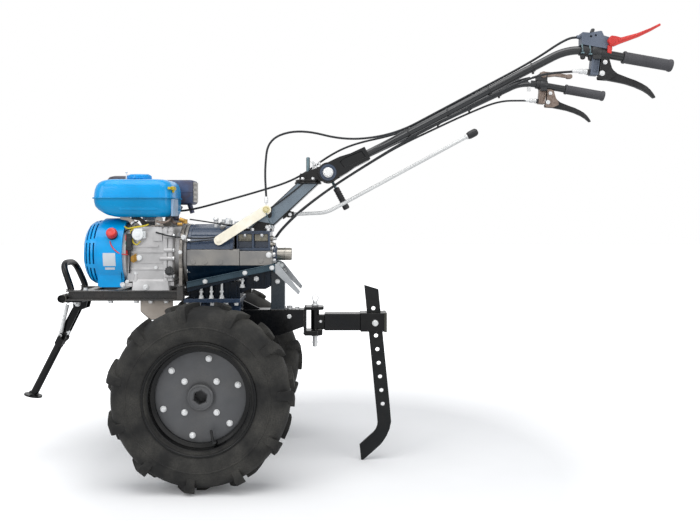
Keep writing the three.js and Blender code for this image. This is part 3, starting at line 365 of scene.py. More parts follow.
PLATED = Finish("yellow_zinc", Slot.ZINC, "#cfc59a", "#b3a87a", 0.32, metallic=0.8, grain=900)
GRIP_BLACK = Finish("grip_black", Slot.PLASTIC, "#141416", "#1b1b1e", 0.5, grain=1600, grain_strength=0.3)
WELD = CastFinish("weld", Slot.BLACK, "#6b6862", "#3c3b38", 0.35, metallic=0.6, patches=120, grain=900)
WHEEL_BLACK = Finish("wheel_black", Slot.WHEEL, "#464749", "#545557", 0.36, grain=700, specular=0.35, patches=7,
                     dust=0.12)
BLUE = Finish("engine_blue", Slot.BLUE, "#0099dc", "#0090d0", 0.24, spread=0.04, grain=380,
              grain_depth=0.00006, specular=0.25, coat=0.12)
# A darker copy of the engine blue: painted shade on the tank's lower half, its flange and its swage.
BLUE_SHADED = Finish("engine_blue_painted_shade", Slot.BLUE, "#0088c0", "#007fb4", 0.24, spread=0.04, grain=380,
                   grain_depth=0.00006, specular=0.22, coat=0.1)
# Dark navy: painted shade inside the starter dome, seen through its slots.
STARTER_SHADE = Finish("starter_painted_shade", Slot.BLUE, "#0c2f48", "#0a2438", 0.5, grain=900)
STAMPED = Finish("stamped_cover", Slot.GREY, "#a9acae", "#9a9da0", 0.36, metallic=0.5, grain=900)
# Pale blue-grey: a painted highlight on the tank's rounded rear corner.
TANK_CORNER_HIGHLIGHT = Finish("tank_corner_painted_highlight", Slot.GREY, "#8fa9c2", "#7f9ab5", 0.4, grain=900)
GEARBOX = CastFinish("gearbox_paint", Slot.GEARBOX, "#223249", "#2a3b51", 0.26, coat=0.15, grain=600, skin=150,
                     skin_depth=0.0005, dust=0.08)
# Pale grey casting face. On the gearbox band the pale grey is a painted reflection of the floor on the dark gloss
# casting.
GEARBOX_FACE_AND_REFLECTION = CastFinish("gearbox_face_and_painted_reflection", Slot.GEARBOX, "#8b8883", "#777675", 0.38, metallic=0.3, grain=800,
                          skin=200, dust=0.1)
NAVY = CastFinish("lower_case_paint", Slot.GEARBOX, "#03121f", "#051828", 0.24, specular=0.22, grain=600, skin=150,
                  skin_depth=0.0005, dust=0.04)
OCHRE = Finish("plated_rail", Slot.GEARBOX, "#827e70", "#6a675e", 0.4, metallic=0.6, grain=900, patches=60)
BELL = CastFinish("bell_casting", Slot.GEARBOX, "#a09a92", "#6e6b68", 0.3, metallic=0.7, grain=900, patches=30,
                  skin=300)
ALUMINIUM = CastFinish("cast_aluminium", Slot.ALUMINIUM, "#bcbbbb", "#aaa9a9", 0.5, metallic=0.35, specular=0.35,
                       patches=20, grain=1300, grain_strength=0.35, skin=500)
SIDE_BAR = Finish("teal_plate", Slot.ZINC, "#3c4e58", "#2f3f49", 0.3, metallic=0.7, patches=22, grain=900)
ZINC = Finish("zinc_plate", Slot.ZINC, "#66777d", "#47595f", 0.26, metallic=0.85, patches=22, grain=900)
BRIGHT = Finish("bright_zinc", Slot.ZINC, "#dfe0e0", "#cfd0d0", 0.32, metallic=0.55, patches=60, grain=900)
STEEL = Turned("turned_steel", Slot.STEEL, "#a09c94", "#8a867e", 0.32, metallic=0.95)
CREAM = Finish("cream_paint", Slot.CREAM, "#f6f0e0", "#ebe4d0", 0.5, patches=30, grain=700, dust=0.12)
RED = Finish("red_plastic", Slot.RED, "#c9302a", "#bd2823", 0.34, grain=500)
GRIP = Finish("grip_rubber", Slot.GRIP, "#4b4b4e", "#434346", 0.6, specular=0.25, grain=1800, grain_strength=0.3)
GREY = CastFinish("grey_metal", Slot.GREY, "#606876", "#535b68", 0.42, metallic=0.25, specular=0.35, grain=1000)
BEIGE = CastFinish("bracket_grey", Slot.GREY, "#aaa198", "#9a9086", 0.5, metallic=0.2, grain=1000)
RUSTY = CastFinish("browned_metal", Slot.GREY, "#877970", "#65564c", 0.5, metallic=0.4, patches=60, grain=1000)
PLASTIC = Finish("black_plastic", Slot.PLASTIC, "#17181a", "#1e1f22", 0.42, grain=1400, grain_strength=0.3)
FILTER = Finish("filter_plastic", Slot.PLASTIC, "#2c2a3a", "#232231", 0.4, grain=1400, grain_strength=0.3)
WHITE_PLASTIC = Finish("white_plastic", Slot.GREY, "#e4e6e6", "#d5d8d8", 0.38, grain=800)
YELLOW = Finish("yellow_plastic", Slot.GREY, "#c9b428", "#b8a41f", 0.45, grain=800)
BRASS = Finish("brass", Slot.ZINC, "#b58f4e", "#9c7738", 0.34, metallic=0.85, grain=900)
GREEN = Finish("green_plastic", Slot.GREY, "#2e7d5b", "#276b4e", 0.45, grain=800)
EXHAUST = HeatFinish("exhaust", Slot.EXHAUST, "#485878", "#3f4660", 0.46, metallic=0.3, patches=20, grain=900)
# Near black: painted shade in the bore of the front cross tube.
BORE_SHADE = Finish("painted_bore_shade", Slot.PLASTIC, "#050506", "#080809", 0.8, grain=400)
CABLE = Finish("cable_black", Slot.CABLE, "#1c1e21", "#24272a", 0.42, specular=0.3, grain=1200)
PLATE = Finish("blank_plate", Slot.GREY, "#c6ccd2", "#bcc3c9", 0.4, grain=900)
RUBBER_BLACK = Finish("black_rubber", Slot.TYRE, "#121314", "#1a1b1c", 0.6, grain=1500)


# -------------------------------------------------------------------- shapes


class Plane(Enum):
    """Plane that a flat outline is drawn in, and the axis that it is pulled along."""

    SIDE = (0, 2, 1)
    FRONT = (1, 2, 0)
    TOP = (0, 1, 2)


def show(name: str, data: bpy.types.ID) -> bpy.types.Object:
    """Makes an object of its data and puts it in the scene."""
    made = bpy.data.objects.new(name, data)
    bpy.context.scene.collection.objects.link(made)
    return made


def towards(axis: Vector, spin: float = 0.0) -> Matrix:
    """A turn that takes z to an axis, after a spin about z."""
    return axis.normalized().to_track_quat("Z", "Y").to_matrix().to_4x4() @ Matrix.Rotation(spin, 4, "Z")


def arc(centre: Point, radius: float, start: float, end: float, steps: int) -> list[tuple[float, float]]:
    """Points of an arc, with its angles in degrees.

    Args:
        centre: Middle of the arc.
        radius: Its radius.
        start: First angle.
        end: Last angle.
        steps: Number of stretches between the points.

    Returns:
        The points in order.
    """
    angles = [radians(start + (end - start) * i / steps) for i in range(steps + 1)]
    return [(centre[0] + radius * cos(a), centre[1] + radius * sin(a)) for a in angles]


def rounded(low: Point, high: Point, radius: float, steps: int = 5) -> list[tuple[float, float]]:
    """A rectangle with round corners, as points against the clock."""
    return [
        *arc((high[0] - radius, high[1] - radius), radius, 0, 90, steps),
        *arc((low[0] + radius, high[1] - radius), radius, 90, 180, steps),
        *arc((low[0] + radius, low[1] + radius), radius, 180, 270, steps),
        *arc((high[0] - radius, low[1] + radius), radius, 270, 360, steps),
    ]


def bent(corners: Sequence[Point], bend: float, steps: int = 6) -> list[Vector]:
    """A path through corner points, with each corner rounded.

    Args:
        corners: The corner points.
        bend: Distance from a corner at which its curve starts.
        steps: Stretches in each curve.

    Returns:
        The path's points.
    """
    knots = [Vector(c) for c in corners]
    path = [knots[0]]
    for before, corner, after in zip(knots, knots[1:], knots[2:]):
        entry = corner.lerp(before, min(bend / (corner - before).length, 0.48))
        leave = corner.lerp(after, min(bend / (corner - after).length, 0.48))
        for i in range(steps + 1):
            t = i / steps
            path.append(entry.lerp(corner, t).lerp(corner.lerp(leave, t), t))
    path.append(knots[-1])
    return path


def even(path: Sequence[Vector], step: float) -> list[Vector]:
    """A path with no stretch longer than a step."""
    made = [path[0]]
    for here, there in zip(path, path[1:]):
        count = max(1, ceil((there - here).length / step))
        made.extend(here.lerp(there, i / count) for i in range(1, count + 1))
    return made


class Shape:
    """A mesh being built, in the machine's millimetres."""

    def __init__(self) -> None:
        """Starts with nothing."""
        self.bm = bmesh.new()

    def block(self, low: Point, high: Point) -> "Shape":
        """Adds a block between two corners."""
        middle = [(a + b) / 2 for a, b in zip(low, high)]
        size = [b - a for a, b in zip(low, high)]
        matrix = Matrix.Translation(middle) @ Matrix.Diagonal((*size, 1))
        bmesh.ops.create_cube(self.bm, size=1, matrix=matrix)
        return self

    def rod(
        self, start: Point, end: Point, radius: float, end_radius: float | None = None,
        sides: int = 24, spin: float = 0.0,
    ) -> "Shape":
        """Adds a round or many-sided bar between two points.

        Args:
            start: Middle of the first end.
            end: Middle of the other end.
            radius: Radius at the start, to the corners.
            end_radius: Radius at the end, if it tapers.
            sides: Number of sides.
            spin: Turn about its own line, in radians.

        Returns:
            This shape.
        """
        first, last = Vector(start), Vector(end)
        matrix = Matrix.Translation((first + last) / 2) @ towards(last - first, spin)
        bmesh.ops.create_cone(
            self.bm, cap_ends=True, segments=sides, radius1=radius,
            radius2=radius if end_radius is None else end_radius,
            depth=(last - first).length, matrix=matrix,
        )
        return self

    def plate(self, outline: Outline, low: float, high: float, plane: Plane = Plane.SIDE) -> "Shape":
        """Adds a plate from its outline.

        Args:
            outline: The outline's points in the plane.
            low: Where the plate starts across the plane.
            high: Where it ends.
            plane: The plane that it is drawn in.

        Returns:
            This shape.
        """
        first, second, across = plane.value
        verts = []
        for a, b in outline:
            at = [0.0, 0.0, 0.0]
            at[first], at[second], at[across] = a, b, low
            verts.append(self.bm.verts.new(at))
        face = self.bm.faces.new(verts)
        pulled = bmesh.ops.extrude_face_region(self.bm, geom=[face])
        move = [0.0, 0.0, 0.0]
        move[across] = high - low
        moved = [v for v in pulled["geom"] if isinstance(v, bmesh.types.BMVert)]
        bmesh.ops.translate(self.bm, verts=moved, vec=move)
        bmesh.ops.recalc_face_normals(self.bm, faces=list({f for v in moved for f in v.link_faces} | {face}))
        return self

    def lathe(self, loop: Outline, centre: Point, axis: Vector = Y, sides: int = 64, closed: bool = True) -> "Shape":
        """Adds a turned piece.

        Args:
            loop: Points as radius and place along the axis.
            centre: Where the axis' own zero lies.
            axis: The axis of turning.
            sides: Steps in a full turn.
            closed: Whether the last point joins the first.

        Returns:
            This shape.
        """
        turn = Matrix.Translation(centre) @ towards(axis)
        verts = [self.bm.verts.new(turn @ Vector((r, 0, along))) for r, along in loop]
        pairs = list(zip(verts, verts[1:])) + ([(verts[-1], verts[0])] if closed else [])
        edges = [self.bm.edges.new(pair) for pair in pairs]
        bmesh.ops.spin(
            self.bm, geom=verts + edges, cent=centre, axis=axis, angle=TURN, steps=sides, use_merge=True,
        )
        bmesh.ops.remove_doubles(self.bm, verts=self.bm.verts[:], dist=0.002)
        return self

    def sweep(self, path: Sequence[Vector], radius: float | Sequence[float], sides: int = 12) -> "Shape":
        """Adds a tube along a path, closed at its ends.

        Args:
            path: The tube's middle line.
            radius: Its radius, or one for each point.
            sides: Sides of the section.

        Returns:
            This shape.
        """
        count = len(path)
        radii = [radius] * count if isinstance(radius, (int, float)) else list(radius)
        along = (path[1] - path[0]).normalized()
        aim = towards(along)
        ring = bmesh.ops.create_circle(
            self.bm, cap_ends=True, segments=sides, radius=1,
            matrix=Matrix.Translation(path[0]) @ aim @ Matrix.Scale(radii[0], 4),
        )["verts"]
        face = next(f for f in ring[0].link_faces if len(f.verts) == sides)
        for i in range(1, count):
            into = (path[i] - path[i - 1]).normalized()
            out = (path[i + 1] - path[i]).normalized() if i < count - 1 else into
            new_along = (into + out).normalized()
            turn = along.rotation_difference(new_along).to_matrix().to_4x4()
            pulled = bmesh.ops.extrude_face_region(self.bm, geom=[face])
            moved = [v for v in pulled["geom"] if isinstance(v, bmesh.types.BMVert)]
            scale = Matrix.Scale(radii[i] / radii[i - 1], 4)
            matrix = Matrix.Translation(path[i]) @ turn @ scale @ Matrix.Translation(-path[i - 1])
            bmesh.ops.transform(self.bm, matrix=matrix, verts=moved)
            old, face = face, next(f for f in pulled["geom"] if isinstance(f, bmesh.types.BMFace))
            if i > 1:
                bmesh.ops.delete(self.bm, geom=[old], context="FACES_ONLY")
            along = new_along
        return self

    def wire(self, corners: Sequence[Point], bend: float, step: float, radius: float, sides: int) -> "Shape":
        """Adds a wire or hose through corner points.

        Args:
            corners: The corner points.
            bend: Distance from a corner at which its curve starts.
            step: Longest stretch between two rings.
            radius: The wire's radius.
            sides: Sides of its section.

        Returns:
            This shape.
        """
        return self.sweep(even(bent(corners, bend), step), radius, sides)

    def stack(self, levels: Sequence[Sequence[float]], steps: int = 5) -> "Shape":
        """Adds a body of round-cornered slices, one above another.

        Args:
            levels: Height, lowest x, highest x, half width and corner radius of each slice.
            steps: Stretches in each corner.

        Returns:
            This shape.
        """
        def ring(level: Sequence[float]) -> list[Vector]:
            z, low, high, half, corner = level
            return [Vector((x, y, z)) for x, y in rounded((low, -half), (high, half), corner, steps)]

        face = self.bm.faces.new([self.bm.verts.new(point) for point in ring(levels[0])])
        for level in levels[1:]:
            below = list(face.verts)
            pulled = bmesh.ops.extrude_discrete_faces(self.bm, faces=[face])["faces"][0]
            start = min(range(len(below)), key=lambda i: (pulled.verts[i].co - below[0].co).length)
            points = ring(level)
            same_way = (
                (pulled.verts[(start + 1) % len(points)].co - below[1].co).length
                < (pulled.verts[start - 1].co - below[1].co).length
            )
            for i, point in enumerate(points):
                pulled.verts[(start + i if same_way else start - i) % len(points)].co = point
            face = pulled
        return self

    def slice(self, point: Point, outwards: Point) -> "Shape":
        """Cuts away what lies beyond a plane and closes the opening."""
        geom = self.bm.verts[:] + self.bm.edges[:] + self.bm.faces[:]
        made = bmesh.ops.bisect_plane(
            self.bm, geom=geom, dist=0.001, plane_co=point, plane_no=outwards, clear_outer=True,
        )["geom_cut"]
        bmesh.ops.holes_fill(self.bm, edges=[e for e in made if isinstance(e, bmesh.types.BMEdge)], sides=0)
        return self

    def add(self, other: "Shape", matrix: Matrix | None = None) -> "Shape":
        """Adds another shape as it is, or moved, and uses it up."""
        if matrix is not None:
            other.shift(matrix)
        held = bpy.data.meshes.new("held")
        other.bm.to_mesh(held)
        self.bm.from_mesh(held)
        bpy.data.meshes.remove(held)
        other.bm.free()
        return self

    def ball(self, centre: Point, radius: float, scale: Point = (1, 1, 1)) -> "Shape":
        """Adds a ball, stretched if asked."""
        matrix = Matrix.Translation(centre) @ Matrix.Diagonal((*scale, 1))
        bmesh.ops.create_uvsphere(self.bm, u_segments=20, v_segments=12, radius=radius, matrix=matrix)
        return self

    def bolt(
        self, at: Point, axis: Vector, across: float = 13.0, height: float = 7.0,
        washer: float = 0.0, spin: float = 0.3,
    ) -> "Shape":
        """Adds a hexagon head standing on a point, with a washer if asked.

        Args:
            at: Middle of the head's seat.
            axis: The way that the head faces.
            across: Width across flats.
            height: Height of the head.
            washer: Radius of the washer, or none.
            spin: Turn of the hexagon.

        Returns:
            This shape.
        """
        foot, way = Vector(at), axis.normalized()
        thick = 2.0 if washer else 0.0
        if washer:
            self.rod(foot, foot + way * thick, washer, sides=20)
        corner = across / sqrt(3)
        top = foot + way * (thick + height)
        self.rod(foot + way * thick * 0.5, top - way * 1.2, corner, sides=6, spin=spin)
        self.rod(top - way * 1.2, top, corner, corner * 0.86, sides=6, spin=spin)
        return self

    def shift(self, matrix: Matrix) -> "Shape":
        """Moves the whole shape by a matrix."""
        bmesh.ops.transform(self.bm, matrix=matrix, verts=self.bm.verts[:])
        return self

    def temporary(self) -> bpy.types.Object:
        """The shape as a loose object, with its faces outwards."""
        bmesh.ops.recalc_face_normals(self.bm, faces=self.bm.faces[:])
        mesh = bpy.data.meshes.new("temporary")
        self.bm.to_mesh(mesh)
        return show("temporary", mesh)

    def cut(self, tool: "Shape") -> "Shape":
        """Takes another shape's volume away, and uses it up."""
        body, knife = self.temporary(), tool.temporary()
        modifier = body.modifiers.new("cut", "BOOLEAN")
        modifier.operation, modifier.solver, modifier.object = "DIFFERENCE", "EXACT", knife
        modifier.use_self = True
        graph = bpy.context.evaluated_depsgraph_get()
        result = bpy.data.meshes.new_from_object(body.evaluated_get(graph))
        self.bm.clear()
        self.bm.from_mesh(result)
        bmesh.ops.remove_doubles(self.bm, verts=self.bm.verts[:], dist=0.01)
        for used in (body, knife):
            bpy.data.objects.remove(used)
        tool.bm.free()
        return self

    def finish(
        self, name: str, look: Finish, body: Body | None = Body.CHASSIS, bevel: float = 0.0, smooth: float = 32.0,
        replaces: Sequence[str] = (),
    ) -> bpy.types.Object:
        """Makes the shape a finished piece that rides on a body.

        Args:
            name: The piece's name.
            look: Its finish.
            body: The body that it rides on, or none, which leaves it on no body.
            bevel: Width of its edge rounding, or none.
            smooth: Angle in degrees above which an edge stays sharp.
            replaces: CAD nodes that it stands for.

        Returns:
            The new object.
        """
        bmesh.ops.recalc_face_normals(self.bm, faces=self.bm.faces[:])
        self.shift(TO_FRAME)
        mesh = bpy.data.meshes.new(name)
        self.bm.to_mesh(mesh)
        self.bm.free()
        mesh.materials.append(look.material())
        mesh.polygons.foreach_set("use_smooth", [True] * len(mesh.polygons))
        mesh.set_sharp_from_angle(angle=radians(smooth))
        made = show(name, mesh)
        if bevel:
            modifier = made.modifiers.new("edges", "BEVEL")
            modifier.width, modifier.segments = bevel * MM, 2
            modifier.limit_method, modifier.angle_limit = "ANGLE", radians(smooth)
            modifier.harden_normals = True
        if body:
            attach(made, body.value)
        if replaces:
            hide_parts(*replaces)
        log.info("piece %s on %s: %d faces", name, body.value if body else "two bodies", len(mesh.polygons))
        return made


# -------------------------------------------------------------------- wheels


@dataclass
class Wheel:
    """One driven wheel: tyre, rim, disc, hub, bolts, valve and axle shaft.

    It is drawn with y pointing away from the machine and the hub at zero, then
    mirrored to its side, so that both treads point the same way.
    """

    side: Side
    track: float = 560.0
    axle: float = 280.0
    crown: float = 280.0
    carcass: float = 267.0
    lugs: int = 11
    lug_width: float = 29.0
    lean: float = 0.72
    disc_radius: float = 139.0
    disc_out: float = 14.0
    inner_bolts: tuple[float, ...] = (44, 136, 224, 316)
    outer_bolts: tuple[float, ...] = (78, 18, -42, -102, 198, 138)
    inner_circle: float = 66.0
    outer_circle: float = 116.0
    socket: float = 37.5
    hub_front: float = 26.0
    flange_back: float = -6.0
    disc_plate: float = 6.0
    valve_angle: float = 288.0
    pips: int = 30
    wear_ribs: int = 40

    def body(self) -> Body:
        """The body that the wheel turns with."""
        return Body.WHEEL_LEFT if self.side is Side.LEFT else Body.WHEEL_RIGHT

    def place(self, shape: Shape) -> Shape:
        """Mirrors a shape to the wheel's side and moves it to its hub."""
        sign = self.side.value
        centre = Matrix.Translation((0, sign * self.track / 2, self.axle))
        return shape.shift(centre @ Matrix.Diagonal((1, sign, 1, 1)))

    def make(self, shape: Shape, name: str, look: Finish, **options: object) -> None:
        """Finishes a piece of this wheel."""
        self.place(shape).finish(f"{name}_{self.side.word}", look, self.body(), **options)

    def round_point(self, angle: float, radius: float, y: float) -> Vector:
        """A point of the wheel at an angle in degrees from the front."""
        turn = radians(angle)
        return Vector((-radius * cos(turn), y, radius * sin(turn)))

    def tyre(self) -> None:
        """The carcass with its sidewall rings and staggered lugs."""
        half = [
            (152.7, 47), (158, 54.5), (168.4, 51.5), (176, 55.5), (190, 60), (205, 62.3), (209, 62.4), (210.2, 64.2),
            (212.6, 64.2), (213.8, 62.2), (226, 61.4), (238, 59), (248, 54), (255, 47), (261.5, 36),
            (self.carcass - 1, 20), (self.carcass, 0),
        ]
        inside = [(244, 0), (240, 30), (226, 46), (205, 51), (180, 47), (152.7, 34)]
        outer = [*half, *[(r, -y) for r, y in reversed(half[:-1])]]
        inner = [*[(r, -y) for r, y in reversed(inside)], *inside[1:]]
        shape = Shape().lathe([*outer, *inner], (0, 0, 0), Y, 110)
        for flank in (1, -1):
            for i in range(self.lugs):
                self.lug(shape, flank, (i + (0.5 if flank < 0 else 0.12)) * TURN / self.lugs)
        self.make(shape, "tyre_tread", TYRE, bevel=1.6, smooth=38, replaces=[f"tyre_{self.side.word}"])
        self.marks()

    def lug(self, shape: Shape, flank: int, angle: float) -> None:
        """Adds one bar of the tread.

        Args:
            shape: The tyre.
            flank: Side of the tyre that it runs to.
            angle: Where it starts round the tyre, in radians.
        """
        outline = [
            (-7, 258), (-7, self.crown - 1), (4, self.crown), (24, self.crown - 0.4), (42, self.crown - 2.2),
            (53, 273.5), (60.5, 265), (63.8, 254), (63.8, 240), (62, 228), (57, 228), (50, 244), (40, 252),
        ]
        lug = Shape().plate(outline, -0.5, 0.5, Plane.FRONT)
        for vert in lug.bm.verts:
            across, y, r = vert.co
            wide = self.lug_width * (1.12 - 0.22 * (r - 234) / 46) * (0.86 if y > 55 and r < 250 else 1.04)
            along = across * wide + self.lean * max(y, 0) * (1 if y < 50 else 50 / y)
            turn = angle + along / self.crown
            vert.co = Vector((r * sin(turn), y * flank, r * cos(turn)))
        shape.add(lug)

    def marks(self) -> None:
        """Small moulded pips and a raised band of wear ribs on the sidewalls."""
        shape = Shape()
        for i in range(self.pips):
            angle = i * 360 / self.pips + 5 * sin(i * 2.3)
            radius = 226 + 8 * sin(i * 1.9)
            for flank in (1, -1):
                seat = self.round_point(angle, radius, flank * 57.5)
                shape.rod(seat, seat + Vector((0, flank * (5.2 - (radius - 218) * 0.1), 0)), 1.7, 1.0, 8)
        for i in range(self.wear_ribs):
            seat = self.round_point(i * 360 / self.wear_ribs + 2, 186, 57.0)
            shape.rod(seat, seat + Vector((0, 3.0, 0)), 1.1, 0.7, 6)
        self.make(shape, "tyre_pips", TYRE)

    def rim(self) -> None:
        """The rolled rim with its flanges, bead seats and well."""
        outer = [
            (168.4, 49), (169.4, 52), (168.6, 55), (165.6, 56), (162.6, 54.6), (161.6, 51), (158.4, 48.4), (149.6, 46),
            (147.6, 30), (146, 25), (135.4, 22), (135.4, 0),
        ]
        inner = [(139.4, 0), (139.4, 24), (150, 28), (152.4, 46), (160, 49), (164, 49)]
        loop = [*outer, *[(r, -y) for r, y in reversed(outer[:-1])], *[(r, -y) for r, y in reversed(inner)],
                *inner[1:]]
        self.make(Shape().lathe(loop, (0, 0, 0), Y, 110), "rim_shell", GLOSS_BLACK, smooth=50,
                  replaces=[f"rim_{self.side.word}"])

    def disc(self) -> None:
        """The pressed wheel disc with a shallow step and a weld bead round it."""
        front, back = self.disc_out, self.disc_out - self.disc_plate
        loop = [
            (30, back), (30, front), (44, front), (46, front + 0.8), (96, front + 0.8), (100, front),
            (self.disc_radius - 7, front), (self.disc_radius - 2, front - 1.5), (self.disc_radius, front - 5),
            (self.disc_radius, back - 2), (self.disc_radius - 4, back),
        ]
        self.make(Shape().lathe(loop, (0, 0, 0), Y, 96), "wheel_disc", WHEEL_BLACK, smooth=40)
        bead = [Vector(self.round_point(i * 5, 137.2 + 0.6 * sin(i * 2.1), front - 6.5)) for i in range(73)]
        self.make(Shape().sweep(bead, 2.6, 8), "disc_weld", WHEEL_BLACK)

    def hub(self) -> None:
        """The cast hub with its hexagon socket, flange, long boss and shaft."""
        front = self.hub_front
        loop = [
            (0, front), (36.5, front), (39, front - 2), (39, self.disc_out), (39, 8), (83, 8), (84, 7), (84, -4),
            (82, self.flange_back), (46, self.flange_back), (38, -12), (33, -22), (33, -94), (31.5, -95.5), (0, -95.5),
        ]
        shape = Shape().lathe(loop, (0, 0, 0), Y, 64, closed=False)
        groove = Shape().lathe([(31.8, front + 3), (33, front + 3), (33, front - 1), (31.8, front - 1)], (0, 0, 0), Y,
                               64)
        corner = self.socket / sqrt(3)
        mouth = Shape().rod((0, front + 2, 0), (0, front - 45, 0), corner, sides=6, spin=radians(8))
        lead = Shape().rod((0, front + 0.5, 0), (0, front - 3.5, 0), corner + 4.5, corner - 1, sides=6,
                           spin=radians(8))
        shape.cut(groove).cut(mouth).cut(lead)
        self.make(shape, "hub_casting", WHEEL_BLACK, bevel=0.5, replaces=[f"hub_{self.side.word}"])
        shaft = Shape().rod((0, -92, 0), (0, -149.6, 0), 19.5, sides=40)
        shaft.rod((0, -95, 0), (0, -99, 0), 27, sides=40)
        self.make(shaft, "axle_shaft", STEEL, bevel=0.6)

    def bolts(self) -> None:
        """The hub and disc bolts with flange heads, and their nuts behind."""
        front, shape = self.disc_out, Shape()
        for radius, angles in ((self.inner_circle, self.inner_bolts), (self.outer_circle, self.outer_bolts)):
            outer = radius == self.outer_circle
            for angle in angles:
                seat = self.round_point(angle, radius, front + (-0.1 if outer else 0.7))
                turn = radians(angle * 1.7)
                shape.rod(seat, seat + Y * 1.6, 9.8, 9.4, sides=24)
                shape.bolt(seat + Y * 1.2, Y, 15, 5.6, spin=turn)
                shape.rod(seat + Y * 6.6, seat + Y * 7.4, 5.0, 4.4, sides=20)
                back = self.round_point(angle, radius, front - self.disc_plate if outer else self.flange_back)
                shape.bolt(back, -Y, 16, 8, 11 if outer else 0, spin=turn)
        self.make(shape, "wheel_bolts", BRIGHT, bevel=0.4)

    def valve(self) -> None:
        """The rubber valve stem with its cap."""
        start, bend = self.round_point(self.valve_angle, 136, 30), self.round_point(self.valve_angle, 124, 36)
        tip = self.round_point(self.valve_angle + 2, 106, 41)
        path = bent([start, bend, tip], 8)
        shape = Shape().sweep(path, [5.2 - 1.6 * i / (len(path) - 1) for i in range(len(path))], 14)
        way = (tip - bend).normalized()
        shape.rod(tip - way, tip + way * 9, 4.4, 4.1, 14)
        shape.rod(start - (bend - start).normalized() * 2, start.lerp(bend, 0.3), 8, 5.4, 16)
        self.make(shape, "valve", RUBBER_BLACK, bevel=0.4)

    def build(self) -> None:
        """Builds the whole wheel."""
        self.tyre()
        self.rim()
        self.disc()
        self.hub()
        self.bolts()
        self.valve()


# ----------------------------------------------------------------- driveline


